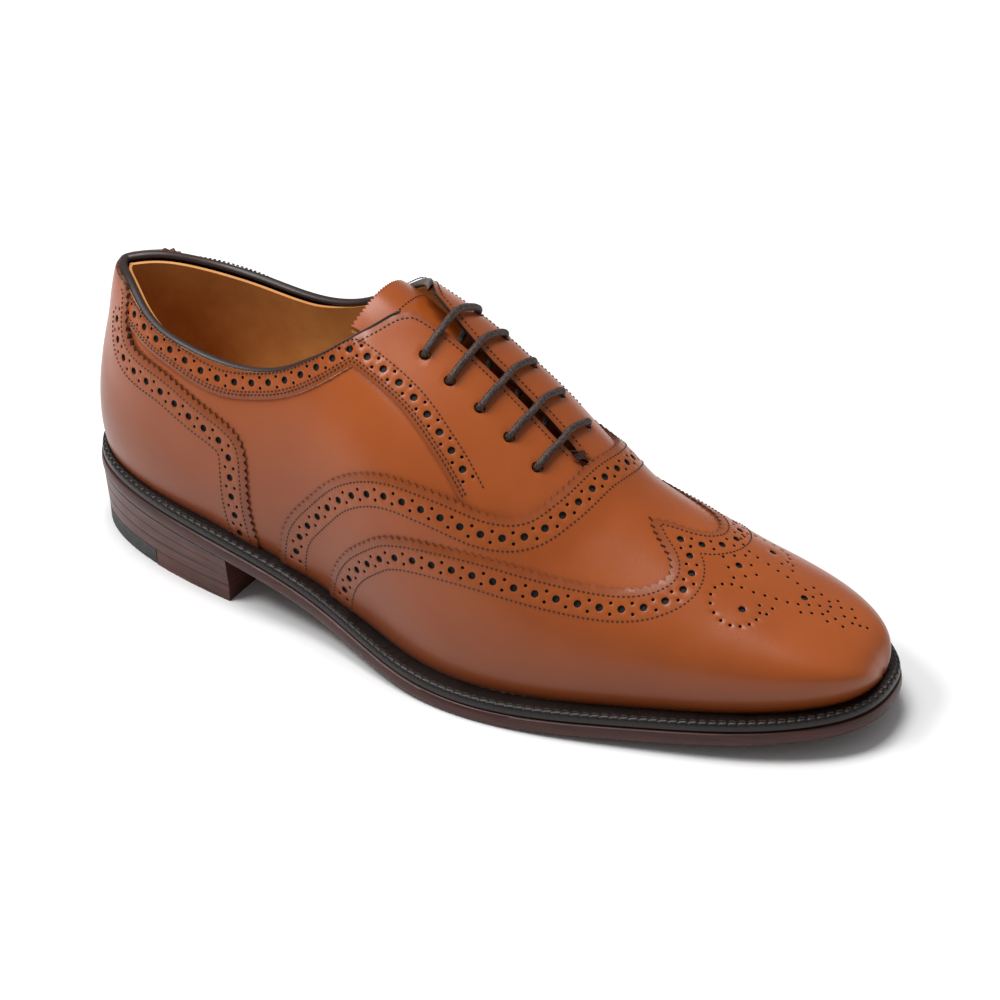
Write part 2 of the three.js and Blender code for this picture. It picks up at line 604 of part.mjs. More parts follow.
// Tongue: an arched plate under the facings, hinged at the foot of the throat.
const TONGUE_DEPTH = 6.9;
function tonguePoint(t, s, depth) {
  const q = mix(5.8, 4.02, t);
  const middle = (k) => crest(-1, k).add(crest(1, k)).multiplyScalar(0.5);
  const slope = middle(q - 0.05).sub(middle(q + 0.05));
  const normal = vec(-slope.z, 0, slope.x).normalize().multiplyScalar(-1);
  const y = s * mix(13, 16, t);
  return middle(q).addScaledVector(normal, -(TONGUE_DEPTH + depth) - mix(0.012, 0.028, t) * y * y)
    .add(vec(0, y, 0));
}
const tongueGrid = (depth, foot) => Array.from({ length: 9 }, (_, i) =>
  [-1, -0.67, -0.33, 0, 0.33, 0.67, 1].map((s) => tonguePoint(mix(foot, 1, i / 8), s, depth)));
const tongue = new THREE.Group();
tongue.name = "tongue_body";
shoe.add(tongue);
tongue.attach(add("tongue", plate(tongueGrid(0, 0), tongueGrid(LEATHER, 0)), TAN, 0.4));
tongue.attach(add("tongue_lining", plate(tongueGrid(LEATHER + GAP, 0), tongueGrid(LEATHER + 1.2, 0)),
  LINING_TAN, 0.6));

// ---- Lace: one round cord, five straight bars outside, slanting runs under the facings ----------
const UNDER_RUN = 5.05; // depth of the lace below the facings
const laceSpots = [];
const spot = (side, q, v, height) => laceSpots.push(onLast(side, q, v, height));
const over = (q, w, height) => laceSpots.push(acrossLast(q, w, height));
const tailA = [[6.9, 0.2, -9], [6.5, 0.2, -9], [6.1, 0.19, -9], [5.7, 0.2, -9], [5.35, 0.24, -9],
  [5.1, 0.33, -8.5], [4.95, 0.45, -7.5], [4.85, 0.57, -6.5], [4.75, 0.68, -5.7], [4.67, 0.78, -5.3],
  [4.63, 0.86, -5.1]];
const tailB = [[5.7, 0.79, -5.1], [5.72, 0.72, -5.4], [5.77, 0.62, -6.2], [5.85, 0.51, -7.5],
  [5.97, 0.4, -8.5], [6.15, 0.31, -9], [6.4, 0.26, -9.2], [6.7, 0.24, -10], [7.0, 0.23, -11]];
for (const [q, v, h] of tailA) spot(-1, q, v, h);
EYELETS_OUTER.forEach(([q1, v1], i) => {
  const [q2, v2] = EYELETS_INNER[i];
  for (const height of [-4.2, -2, -0.3]) spot(-1, q1, v1, height);
  for (const [t, height] of LACE_BAR) spot(-1, q1, mix(v1, 1, t), height);
  for (const [t, height] of [...LACE_BAR].reverse()) spot(1, q2, mix(v2, 1, t), height);
  for (const height of [-0.3, -2, -4.2]) spot(1, q2, v2, height);
  if (i === EYELETS_OUTER.length - 1) return;
  const [q3, v3] = EYELETS_OUTER[i + 1];
  for (const t of [0.1, 0.3, 0.5, 0.7, 0.9]) over(mix(q2, q3, t), mix(1 - v2, v3 - 1, t), -UNDER_RUN);
});
for (const [q, v, h] of tailB) spot(1, q, v, h);

// A round tube whose rings turn as little as possible from one spot to the next.
function tube(spots, radius, sides) {
  let ref = vec(0, 0, 1);
  const sections = spots.map((p, i) => {
    const dir = spots[Math.min(i + 1, spots.length - 1)].clone()
      .sub(spots[Math.max(i - 1, 0)]).normalize();
    const a = ref.clone().addScaledVector(dir, -ref.dot(dir)).normalize();
    ref = a;
    const b = dir.clone().cross(a);
    return Array.from({ length: sides }, (_, k) => {
      const turn = (2 * Math.PI * k) / sides;
      return p.clone().addScaledVector(a, radius * Math.cos(turn))
        .addScaledVector(b, radius * Math.sin(turn));
    });
  });
  return bar(sections, false);
}
add("shoelace", tube(laceSpots, LACE_D / 2, 8), 0x3a2622, 0.55);

const AGLET = 20;
function aglet(name, end, before) {
  const dir = end.clone().sub(before).normalize();
  const mesh = add(name, new THREE.CylinderGeometry(1.35, 1.5, AGLET, 10), 0x2a1c18, 0.3);
  mesh.quaternion.setFromUnitVectors(vec(0, 1, 0), dir);
  mesh.position.copy(end).addScaledVector(dir, AGLET / 2 + GAP);
}
aglet("aglet_outer", laceSpots[0], laceSpots[1]);
aglet("aglet_inner", laceSpots.at(-1), laceSpots.at(-2));

export default shoe;
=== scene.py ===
"""Looks of the full-brogue oxford shoe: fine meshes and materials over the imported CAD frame.

Everything is worked out in shoe millimetres (x from the back of the heel, y to the inner side, z up)
on the same last surface as the CAD model, and moved into the frame, in metres, when a mesh is made.
"""
import math

import bmesh
import bpy
import numpy as np
from mathutils import Matrix, Vector
from mathutils.geometry import delaunay_2d_cdt


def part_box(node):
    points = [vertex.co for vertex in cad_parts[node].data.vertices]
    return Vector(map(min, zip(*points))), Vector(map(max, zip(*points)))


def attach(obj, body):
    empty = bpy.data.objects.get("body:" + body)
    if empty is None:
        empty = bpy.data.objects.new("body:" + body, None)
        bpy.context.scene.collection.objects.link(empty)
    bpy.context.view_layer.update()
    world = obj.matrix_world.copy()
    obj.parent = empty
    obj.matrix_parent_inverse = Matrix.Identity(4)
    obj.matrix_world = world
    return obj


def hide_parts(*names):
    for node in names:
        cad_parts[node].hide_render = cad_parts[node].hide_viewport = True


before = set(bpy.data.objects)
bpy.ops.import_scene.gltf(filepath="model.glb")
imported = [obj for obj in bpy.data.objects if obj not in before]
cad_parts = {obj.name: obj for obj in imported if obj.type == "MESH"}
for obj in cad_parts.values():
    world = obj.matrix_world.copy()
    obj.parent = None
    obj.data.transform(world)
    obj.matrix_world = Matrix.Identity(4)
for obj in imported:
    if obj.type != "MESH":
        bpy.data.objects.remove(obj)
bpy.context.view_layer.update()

MM = 0.001

# ---- Driving dimensions, in millimetres, as in the CAD model ---
SOLE_T = 5.0
WELT_TOP = 8.7
FEATHER = 9.0
LEATHER = 1.3
LINING = 1.0
GAP = 0.35
TOP_PIECE = 6.0
BREAST_Q = 2.98
RUBBER_Q = 2.1
LACE_D = 2.5
EYELET_R = 1.9
LAYER_GAP = 0.8
STIFFENER = 0.6
TONGUE_DEPTH = 6.9
UNDER_RUN = 5.05
HEEL_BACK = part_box("outsole")[0][0] / MM
CENTRE_Y = 2.3

OUTLINE_OUTER = [
    (0, 4.5), (8.5, -16.8), (36, -32), (75, -39.3), (114, -43.2), (153.8, -53.5),
    (193.5, -53.7), (235, -42.5), (272.2, -28.2), (296.5, -7.8), (299.5, 13),
]
OUTLINE_INNER = [
    (8, 21), (35.5, 34.5), (75.5, 32.1), (115.4, 28.2), (155.2, 30.7),
    (194.8, 43), (234.2, 50.7), (268.7, 45), (292.1, 28.2),
]
SOLE_UNDERSIDE = [21.3, 19.4, 16.4, 8.8, 1.3, 0.3, 2.6, 5.4, 8.8]
MARGIN = [2.1, 2.6, 3.6, 5.4, 6.2, 6.9, 7.2, 6.9, 6.3, 5.2, 4.4]
CREST_OUTER = [0.5, 0.444, 0.288, 0.388, 0.541, 0.657, 0.566, 0.447, 0.398, 0.416, 0.456]
CREST_INNER = [0.5, 0.395, 0.223, 0.159, 0.168, 0.295]
CREST_HEIGHT = [82, 85.2, 89.4, 96.3, 101.8, 87.2, 60.2, 39, 23.6, 12.4, 0]
CREST_FORWARD = [8.7, 5.2, 1.7, 0.8, 0, 0, 0, 0, 0, 0.6, 0]
THROAT_FOOT_Q = 5.95
SIDE_RISE = [28.3, 28.3, 28.2, 28.1, 30, 30.7, 26.3, 21.7, 17, 10.8, 0]
SIDE_LEAN = [6.4, 6.4, 5.5, 4.7, 4.8, 5.8, 6.8, 6.4, 6.4, 4.4, 0]
CREST_REACH = [21.5, 25.1, 28.8, 33.8, 41, 42, 31.5, 25.5, 22.8, 15.5, 0]
CREST_TILT = [86.3, 84.4, 78.4, 67.5, 39, 4, 0, 0, 0, 0, 0]

# Seams, as (station, share of the way from the lower edge to the crest).
TOPLINE = [
    (0, 0.727), (0.7, 0.725), (1.35, 0.713), (1.6, 0.69), (2, 0.649), (2.34, 0.628),
    (2.7, 0.615), (3.14, 0.628), (3.39, 0.66), (3.63, 0.714), (3.85, 0.775), (4.04, 0.845),
    (4.19, 0.912), (4.3, 0.967), (4.38, 0.99),
]
THROAT = [
    (4.38, 0.995), (4.6, 1.001), (4.86, 1), (5.14, 0.994), (5.4, 0.988), (5.7, 0.984),
    (5.88, 0.99),
]
COLLAR_LOW = [
    (1.6, 0.59), (2, 0.562), (2.27, 0.544), (2.55, 0.521), (2.83, 0.515), (3.24, 0.553),
    (3.45, 0.584), (3.65, 0.627), (3.84, 0.68), (4.1, 0.772),
]
FACING_REAR = [
    (4.1, 0.772), (4.34, 0.761), (4.67, 0.732), (4.9, 0.691), (5.15, 0.638), (5.32, 0.593),
]
VAMP_EDGE = [
    (3.5, 0.02), (3.54, 0.12), (3.61, 0.2), (3.74, 0.278), (3.88, 0.345), (4.07, 0.425),
    (4.36, 0.503), (4.68, 0.55), (5, 0.572), (5.32, 0.593), (5.5, 0.607), (5.64, 0.629),
    (5.74, 0.655), (5.82, 0.692), (5.88, 0.75), (5.93, 0.83), (5.95, 0.92), (5.95, 1),
]
CAP_EDGE = [
    (4.02, 0.02), (4.09, 0.114), (4.18, 0.185), (4.31, 0.252), (4.46, 0.307), (4.63, 0.358),
    (4.86, 0.399), (5.24, 0.444), (5.6, 0.485), (6, 0.527), (6.35, 0.567), (6.6, 0.605),
    (6.8, 0.662), (6.91, 0.73), (6.95, 0.8), (6.86, 0.889), (6.7, 0.94), (6.55, 1),
]
COUNTER_EDGE = [
    (1.25, 0.716), (1.46, 0.703), (1.51, 0.66), (1.56, 0.605),
    (1.65, 0.56), (1.83, 0.533), (2.22, 0.514), (2.64, 0.462), (2.94, 0.428), (3.06, 0.403),
    (3.13, 0.367), (3.17, 0.3), (3.2, 0.174), (3.23, 0.096), (3.26, 0.02),
]
EYELETS = {
    -1: [(4.61, 0.909), (4.86, 0.887), (5.14, 0.875), (5.42, 0.862), (5.7, 0.848)],
    1: [(4.58, 0.86), (4.84, 0.85), (5.12, 0.845), (5.4, 0.84), (5.68, 0.84)],
}


# ---- Curves -----------------------------------------------
def natural_spline(knots, values):
    """Natural cubic spline through values (one column or several) at rising knots."""
    x = np.asarray(knots, float)
    y = np.asarray(values, float)
    h = np.diff(x)
    n = len(x)
    system = np.eye(n)
    right = np.zeros_like(y)
    for i in range(1, n - 1):
        system[i, i - 1:i + 2] = h[i - 1], 2 * (h[i - 1] + h[i]), h[i]
        right[i] = 6 * ((y[i + 1] - y[i]) / h[i] - (y[i] - y[i - 1]) / h[i - 1])
    bend = np.linalg.solve(system, right)

    def at(t):
        u = np.clip(np.asarray(t, float), x[0], x[-1])
        i = np.clip(np.searchsorted(x, u, side="right") - 1, 0, n - 2)
        r = (u - x[i]) / h[i]
        wide = h[i] ** 2 / 6
        if y.ndim > 1:
            r = r[..., None]
            wide = wide[..., None]
        s = 1 - r
        return s * y[i] + r * y[i + 1] + wide * ((s ** 3 - s) * bend[i] + (r ** 3 - r) * bend[i + 1])

    return at


def station_spline(values):
    """Values one station apart, mirrored about station 0."""
    lead = values[3:0:-1]
    return natural_spline(range(-len(lead), len(values)), [*lead, *values])


LOOP = [*OUTLINE_OUTER, *OUTLINE_INNER[::-1]]
loop_xy = natural_spline(range(-5, len(LOOP) + 6), [*LOOP[-5:], *LOOP, *LOOP[:6]])
underside_spline = natural_spline(np.arange(len(SOLE_UNDERSIDE)) * 38.0, SOLE_UNDERSIDE)
margin = station_spline(MARGIN)
crest_outer = station_spline(CREST_OUTER)
crest_inner = station_spline(CREST_INNER)
crest_height = station_spline(CREST_HEIGHT)
crest_forward = station_spline(CREST_FORWARD)
side_rise = station_spline(SIDE_RISE)
side_lean = station_spline(SIDE_LEAN)
crest_reach = station_spline(CREST_REACH)
crest_tilt = station_spline(CREST_TILT)


def underside(x):
    return underside_spline(np.clip(x, 0, 304))


def unit(v):
    return v / np.maximum(np.linalg.norm(v, axis=-1, keepdims=True), 1e-9)


def smooth(t):
    """A soft step from 0 to 1."""
    t = np.clip(t, 0, 1)
    return t * t * (3 - 2 * t)


def lengths_along(points):
    """Distance along a polyline from its first point to each point."""
    return np.concatenate([[0], np.cumsum(np.linalg.norm(np.diff(points, axis=0), axis=1))])


def outward(side, q):
    """Level unit vectors that point out of the outsole's outline."""
    u = np.where(side < 0, q, 20 - q)
    step = loop_xy(u + 0.001) - loop_xy(u - 0.001)
    return unit(np.stack([step[..., 1], -step[..., 0], 0 * step[..., 0]], -1))


def outline(side, q, inset):
    """Points on the outsole's outline, moved in by inset, at height 0."""
    u = np.where(side < 0, q, 20 - q)
    xy = loop_xy(u)
    flat = np.stack([xy[..., 0], xy[..., 1], 0 * xy[..., 0]], -1)
    return flat - outward(side, q) * np.asarray(inset)[..., None]


def lower_edge(side, q):
    """The feather line, where the upper meets the welt."""
    p = outline(side, q, margin(q))
    p[..., 2] = underside(p[..., 0]) + FEATHER
    return p


def crest(side, q):
    """The topmost line of each half: the two meet over the toes and part at the ankle."""
    closed = np.clip((q - 5) / (THROAT_FOOT_Q - 5), 0, 1)
    opening = (1 - crest_outer(5) - crest_inner(5)) * (1 - closed) ** 2
    inner = np.where(q >= 5, 1 - crest_outer(q) - opening, crest_inner(q))
    share = np.where(side < 0, crest_outer(q), inner)[..., None]
    p = lower_edge(side, q) * (1 - share) + lower_edge(-side, q) * share
    p[..., 0] += crest_forward(q)
    p[..., 2] += crest_height(q)
    return p


def last_point(side, q, v):
    """The last surface: a cubic from the lower edge (v = 0) to the crest (v = 1)."""
    side, q, v = np.broadcast_arrays(*map(np.asarray, (side, q, v)))
    foot = lower_edge(side, q)
    top = crest(side, q)
    out = outward(side, q)
    up = np.array([0, 0, 1.0])
    low = foot + side_lean(q)[..., None] * out + side_rise(q)[..., None] * up
    across = top - foot
    across[..., 2] = 0
    across = unit(across - 0.01 * out)
    tilt = np.radians(crest_tilt(q))[..., None]
    high = top - crest_reach(q)[..., None] * (np.cos(tilt) * across + np.sin(tilt) * up)
    v = v[..., None]
    s = 1 - v
    return s ** 3 * foot + 3 * s * s * v * low + 3 * s * v * v * high + v ** 3 * top


def last_normal(side, q, v):
    side, q, v = np.broadcast_arrays(*map(np.asarray, (side, q, v)))
    a = np.clip(q, 0.02, 9.95)
    b = np.clip(v, 0.006, 0.994)
    along_q = last_point(side, a + 0.01, b) - last_point(side, a - 0.01, b)
    along_v = last_point(side, a, b + 0.005) - last_point(side, a, b - 0.005)
    return unit(np.cross(along_q, along_v)) * -side[..., None]


def on_last(side, q, v, height):
    return last_point(side, q, v) + last_normal(side, q, v) * np.asarray(height, float)[..., None]


# A flat chart of the last for each kind of panel. "across" is (station, w), with w from -1 at the
# outer lower edge over the crest to 1 at the inner one. -1 or 1 is one half of the shoe, with the
# same w, which may run past the crest. "heel" is (station, v), with outer stations below 0.
ACROSS = "across"
HEEL = "heel"
CHART_SCALE = np.array([38.0, 85.0])  # millimetres on the leather for each chart unit, roughly
SIDES = ((-1, "outer"), (1, "inner"))


def read_chart(chart, kind):
    """Side, station and v of chart points."""
    if kind == HEEL:
        return np.where(chart[:, 0] < 0, -1, 1), np.abs(chart[:, 0]), chart[:, 1]
    w = chart[:, 1]
    side = np.where(w < 0, -1, 1) if kind == ACROSS else np.full(len(w), kind)
    return side, chart[:, 0], 1 - side * w


def on_chart(chart, height, kind):
    side, q, v = read_chart(chart, kind)
    return on_last(side, q, v, height)


def as_chart(seam, kind, side=-1):
    """A seam's points on a chart; side says which half of an across or heel chart."""
    if kind == HEEL:
        return np.array([(side * q, v) for q, v in seam], float)
    return np.array([(q, (side if kind == ACROSS else kind) * (1 - v)) for q, v in seam], float)


def even(points, spacing, kind, ends=(0, 0)):
    """A smooth chart curve through points, with even steps over the surface in millimetres."""
    knots = lengths_along(points * CHART_SCALE)
    curve = natural_spline(knots, points)
    fine = curve(np.linspace(0, knots[-1], 60 * len(points)))
    place = on_chart(fine, np.zeros(len(fine)), kind)
    length = lengths_along(place)
    start, stop = ends[0], length[-1] - ends[1]
    steps = max(int(round((stop - start) / spacing)), 1)
    marks = np.linspace(start, stop, steps + 1)
    return np.stack([np.interp(marks, length, fine[:, k]) for k in (0, 1)], -1)


def surface_frame(chart, kind):
    """Tangents of the chart at each point: millimetres per unit of each chart coordinate."""
    side, q, v = read_chart(chart, kind)
    q = np.clip(q, 0.02, 9.9)
    v = np.clip(v, 0.01, 0.99)
    step_q = (last_point(side, q + 0.005, v) - last_point(side, q - 0.005, v)) * 100
    step_v = (last_point(side, q, v + 0.005) - last_point(side, q, v - 0.005)) * 100
    if kind == HEEL:
        return step_q * side[:, None], step_v
    return step_q, step_v * -side[:, None]


def moved(chart, offset, kind):
    """Chart points moved by millimetre vectors that lie in the surface."""
    first, second = surface_frame(chart, kind)
    a = (first ** 2).sum(-1)
    b = (first * second).sum(-1)
    c = (second ** 2).sum(-1)
    e = (offset * first).sum(-1)
    f = (offset * second).sum(-1)
    det = a * c - b * b
    return chart + np.stack([(e * c - b * f) / det, (a * f - b * e) / det], -1)


def directions(chart, kind):
    """Unit vectors along a chart curve, to its left, and out of the surface."""
    place = on_chart(chart, np.zeros(len(chart)), kind)
    ahead = unit(np.gradient(place, axis=0))
    out = last_normal(*read_chart(chart, kind))
    left = unit(np.cross(out, ahead))
    return ahead, left, out


def beside(chart, distance, kind):
    """A chart curve moved to the left over the surface."""
    left = directions(chart, kind)[1]
    distance = np.broadcast_to(distance, len(chart))
    return moved(chart, left * distance[:, None], kind)


def mirrored(half):
    """A curve of the outer half carried on over the crest with its mirror image."""
    return np.concatenate([half, (half[:-1] * (1, -1))[::-1]])


def to_middle(half):
    """The part of a curve of the outer half up to where it meets the crest."""
    past = np.nonzero(half[:, 1] >= -1e-6)[0]
    if len(past) and past[0] > 0:
        i = past[0]
        a, b = half[i - 1], half[i]
        half = np.concatenate([half[:i], [a + (b - a) * a[1] / (a[1] - b[1])]])
    half = half.copy()
    half[-1, 1] = 0
    return half


# ---- Camera -----------------------------------------------
def shoe_to_frame(p):
    return (np.asarray(p, float) + (HEEL_BACK, CENTRE_Y, 0)) * MM


CAMERA_AZ = math.radians(33.47)
CAMERA_EL = math.radians(33.16)
CAMERA_ROLL = math.radians(-1.93)
CAMERA_DISTANCE = 1.6435
LENS_IN_FRAMES = 5.0085  # focal length over the width of the picture


def make_camera():
    target = Vector(shoe_to_frame((152, 0, 40)))
    sin_az, cos_az = math.sin(CAMERA_AZ), math.cos(CAMERA_AZ)
    back = Vector((sin_az * math.cos(CAMERA_EL), -cos_az * math.cos(CAMERA_EL), math.sin(CAMERA_EL)))
    right = Vector((cos_az, sin_az, 0))
    up = back.cross(right)
    right_rolled = right * math.cos(CAMERA_ROLL) + up * math.sin(CAMERA_ROLL)
    up_rolled = up * math.cos(CAMERA_ROLL) - right * math.sin(CAMERA_ROLL)
    turn = Matrix((right_rolled, up_rolled, back)).transposed().to_4x4()
    data = bpy.data.cameras.new("camera")
    data.sensor_width = 36
    data.lens = 36 * LENS_IN_FRAMES
    data.shift_x = 0.0173
    data.shift_y = 0.0112
    data.clip_start = 0.05
    camera = bpy.data.objects.new("camera", data)
    camera.matrix_world = Matrix.Translation(target + back * CAMERA_DISTANCE) @ turn
    bpy.context.scene.collection.objects.link(camera)
    bpy.context.scene.camera = camera


make_camera()


# ---- Materials --------------------------------------------
def srgb(r, g, b):
    """Linear colour from 0 to 255 display values."""
    def linear(c):
        c /= 255
        return c / 12.92 if c <= 0.04045 else ((c + 0.055) / 1.055) ** 2.4
    return (linear(r), linear(g), linear(b), 1)


class Shader:
    """A Principled material with helpers for the few nodes that are used here."""

    def __init__(self, name, roughness, coat=0.0, coat_roughness=0.2, metallic=0.0, specular=0.5):
        self.material = bpy.data.materials.new(name)
        self.material.use_nodes = True
        self.nodes = self.material.node_tree.nodes
        self.links = self.material.node_tree.links
        self.surface = self.nodes["Principled BSDF"]
        self.surface.inputs["Roughness"].default_value = roughness
        self.surface.inputs["Coat Weight"].default_value = coat
        self.surface.inputs["Coat Roughness"].default_value = coat_roughness
        self.surface.inputs["Metallic"].default_value = metallic
        self.surface.inputs["Specular IOR Level"].default_value = specular
        self.place = self.nodes.new("ShaderNodeTexCoord").outputs["Object"]

    def noise(self, scale, detail=3.0, roughness=0.55, stretch=None):
        node = self.nodes.new("ShaderNodeTexNoise")
        node.inputs["Scale"].default_value = scale
        node.inputs["Detail"].default_value = detail
        node.inputs["Roughness"].default_value = roughness
        self.links.new(self.stretched(stretch), node.inputs["Vector"])
        return node.outputs["Fac"]

    def cells(self, scale, feature="F1"):
        node = self.nodes.new("ShaderNodeTexVoronoi")
        node.feature = feature
        node.inputs["Scale"].default_value = scale
        self.links.new(self.place, node.inputs["Vector"])
        return node.outputs["Distance"]

    def stretched(self, stretch):
        if stretch is None:
            return self.place
        node = self.nodes.new("ShaderNodeMapping")
        node.inputs["Scale"].default_value = stretch
        self.links.new(self.place, node.inputs["Vector"])
        return node.outputs["Vector"]

    def attribute(self, name):
        node = self.nodes.new("ShaderNodeAttribute")
        node.attribute_name = name
        return node.outputs["Fac"]

    def ramp(self, source, stops):
        node = self.nodes.new("ShaderNodeValToRGB")
        while len(node.color_ramp.elements) < len(stops):
            node.color_ramp.elements.new(0.5)
        for element, (position, colour) in zip(node.color_ramp.elements, stops):
            element.position = position
            element.color = colour
        self.links.new(source, node.inputs["Fac"])
        return node.outputs["Color"]

    def put(self, value, socket):
        """Links another node's output to a socket, or sets the socket to a fixed value."""
        if isinstance(value, bpy.types.NodeSocket):
            self.links.new(value, socket)
        else:
            socket.default_value = value

    def mix(self, factor, a, b):
        node = self.nodes.new("ShaderNodeMix")
        node.data_type = "RGBA"
        for value, socket in ((factor, node.inputs[0]), (a, node.inputs[6]), (b, node.inputs[7])):
            self.put(value, socket)
        return node.outputs[2]

    def math(self, operation, a, b):
        node = self.nodes.new("ShaderNodeMath")
        node.operation = operation
        self.put(a, node.inputs[0])
        self.put(b, node.inputs[1])
        return node.outputs[0]

    def colour(self, source):
        self.put(source, self.surface.inputs["Base Color"])

    def roughness(self, source, low, high):
        node = self.nodes.new("ShaderNodeMapRange")
        node.inputs["To Min"].default_value = low
        node.inputs["To Max"].default_value = high
        self.links.new(source, node.inputs["Value"])
        self.links.new(node.outputs["Result"], self.surface.inputs["Roughness"])

    def bump(self, source, distance, strength=1.0):
        node = self.nodes.new("ShaderNodeBump")
        node.inputs["Distance"].default_value = distance
        node.inputs["Strength"].default_value = strength
        self.links.new(source, node.inputs["Height"])
        previous = self.surface.inputs["Normal"]
        if previous.is_linked:
            self.links.new(previous.links[0].from_socket, node.inputs["Normal"])
        self.links.new(node.outputs["Normal"], previous)


def polished_leather(name, light, middle, dark):
    """Burnished calf: cloudy dye and fine grain, with a darker colour mixed in where a point attribute
    is low: darker dye at the cut edges and painted shade towards the welt.
    """
    shader = Shader(name, 0.36, coat=0.12, coat_roughness=0.2, specular=0.32)
    clouds = shader.ramp(shader.noise(24, 3, 0.5), [(0.25, middle), (0.75, light)])
    dye_and_painted_shade = shader.attribute("dye_and_painted_shade")
    shader.colour(shader.mix(dye_and_painted_shade, dark, clouds))
    grain = shader.math("ADD", shader.cells(1900), shader.noise(2600, 2))
    shader.roughness(shader.noise(160, 3), 0.30, 0.40)
    shader.bump(grain, 0.00004, 0.35)
    shader.bump(shader.noise(260, 3), 0.00012, 0.25)
    return shader.material


def raw_edge(name, light, dark):
    shader = Shader(name, 0.75)
    shader.colour(shader.ramp(shader.noise(900, 3), [(0.35, dark), (0.65, light)]))
    shader.bump(shader.noise(1500, 3), 0.0001, 0.6)
    return shader.material


def plain_leather(name, light, dark, roughness=(0.5, 0.7)):
    shader = Shader(name, 0.6)
    shader.colour(shader.ramp(shader.noise(30, 4, 0.6), [(0.3, dark), (0.7, light)]))
    shader.roughness(shader.noise(300, 3), *roughness)
    shader.bump(shader.math("ADD", shader.cells(1300), shader.noise(1800, 2)), 0.00006, 0.4)
    return shader.material


def waxed_edge(name, light, dark, scale=(40, 40, 900)):
    """Sole and lift edges: fibre lines that run round the shoe, under wax."""
    shader = Shader(name, 0.4, coat=0.1, coat_roughness=0.25, specular=0.3)
    fibres = shader.noise(1.0, 4, 0.6, stretch=scale)
    shader.colour(shader.ramp(fibres, [(0.3, dark), (0.7, light)]))
    shader.roughness(shader.noise(220, 3), 0.32, 0.55)
    shader.bump(fibres, 0.0001, 0.35)
    return shader.material


def waxed_thread(name, light, dark):
    shader = Shader(name, 0.6)
    twist = shader.noise(1800, 2)
    shader.colour(shader.ramp(twist, [(0.35, dark), (0.7, light)]))
    shader.bump(twist, 0.00008, 0.6)
    return shader.material


def rubber(name, colour, dark):
    shader = Shader(name, 0.7)
    shader.colour(shader.ramp(shader.noise(500, 3), [(0.3, dark), (0.7, colour)]))
    shader.bump(shader.noise(2500, 2), 0.00005, 0.5)
    return shader.material


def braid(name, light, dark):
    """Waxed round braid: light strands, with painted shade in the short hollows between them."""
    shader = Shader(name, 0.6)
    strands = shader.cells(1400)
    shader.colour(shader.ramp(strands, [(0.15, light), (0.6, dark)]))
    shader.bump(shader.math("SUBTRACT", 1.0, strands), 0.00018, 0.8)
    return shader.material


def metal(name, colour):
    shader = Shader(name, 0.35, metallic=1.0)
    shader.colour(colour)
    shader.bump(shader.noise(700, 2, stretch=(1, 12, 1)), 0.00003, 0.4)
    return shader.material


# dark is mixed in for the darker dye at the cut edges and for the painted shade towards the welt.
CHESTNUT = dict(light=srgb(166, 82, 30), middle=srgb(148, 70, 24), dark=srgb(78, 30, 9))
UPPER = polished_leather("chestnut_leather", **CHESTNUT)
BAND = polished_leather("chestnut_band_leather", **CHESTNUT)
CUT_EDGE = raw_edge("cut_leather_edge", srgb(110, 62, 38), srgb(52, 26, 15))
# Pale cut edge of the outer facing: painted highlight.
PALE_EDGE_HIGHLIGHT = raw_edge("pale_leather_edge_highlight", srgb(222, 198, 168), srgb(160, 120, 84))
# Near-black walls and floors of the punched holes: painted shade in the holes.
HOLE_SHADE = raw_edge("punched_hole_painted_shade", srgb(26, 20, 18), srgb(10, 8, 7))
CAMEL = plain_leather("camel_lining_leather", srgb(214, 152, 82), srgb(178, 112, 54))
INSOLE = plain_leather("insole_leather", srgb(206, 160, 104), srgb(170, 120, 70))
BINDING = plain_leather("binding_leather", srgb(50, 30, 24), srgb(24, 14, 11), (0.35, 0.5))
WELT = waxed_edge("welt_leather", srgb(30, 20, 17), srgb(12, 8, 7))
SOLE_EDGE = waxed_edge("outsole_leather", srgb(74, 30, 20), srgb(40, 16, 11))
HEEL_EDGE = waxed_edge("heel_lift_leather", srgb(92, 44, 32), srgb(46, 21, 15))
TIP_RUBBER = rubber("tip_rubber", srgb(62, 60, 62), srgb(40, 39, 41))
THREAD = waxed_thread("seam_thread", srgb(58, 28, 16), srgb(24, 12, 8))
WELT_THREAD = waxed_thread("welt_thread", srgb(62, 44, 34), srgb(28, 18, 14))
LACE = braid("lace_braid", srgb(92, 66, 56), srgb(42, 28, 23))
AGLET = plain_leather("aglet_film", srgb(46, 32, 28), srgb(30, 20, 18), (0.25, 0.35))
CLOTH = plain_leather("stiffener_cloth", srgb(216, 206, 182), srgb(190, 178, 150), (0.8, 0.9))
CORK = plain_leather("cork_paste", srgb(176, 134, 88), srgb(110, 76, 46), (0.8, 0.95))
STEEL = metal("shank_steel", srgb(168, 170, 172))


# ---- Meshes -----------------------------------------------
SHARP = math.radians(38)


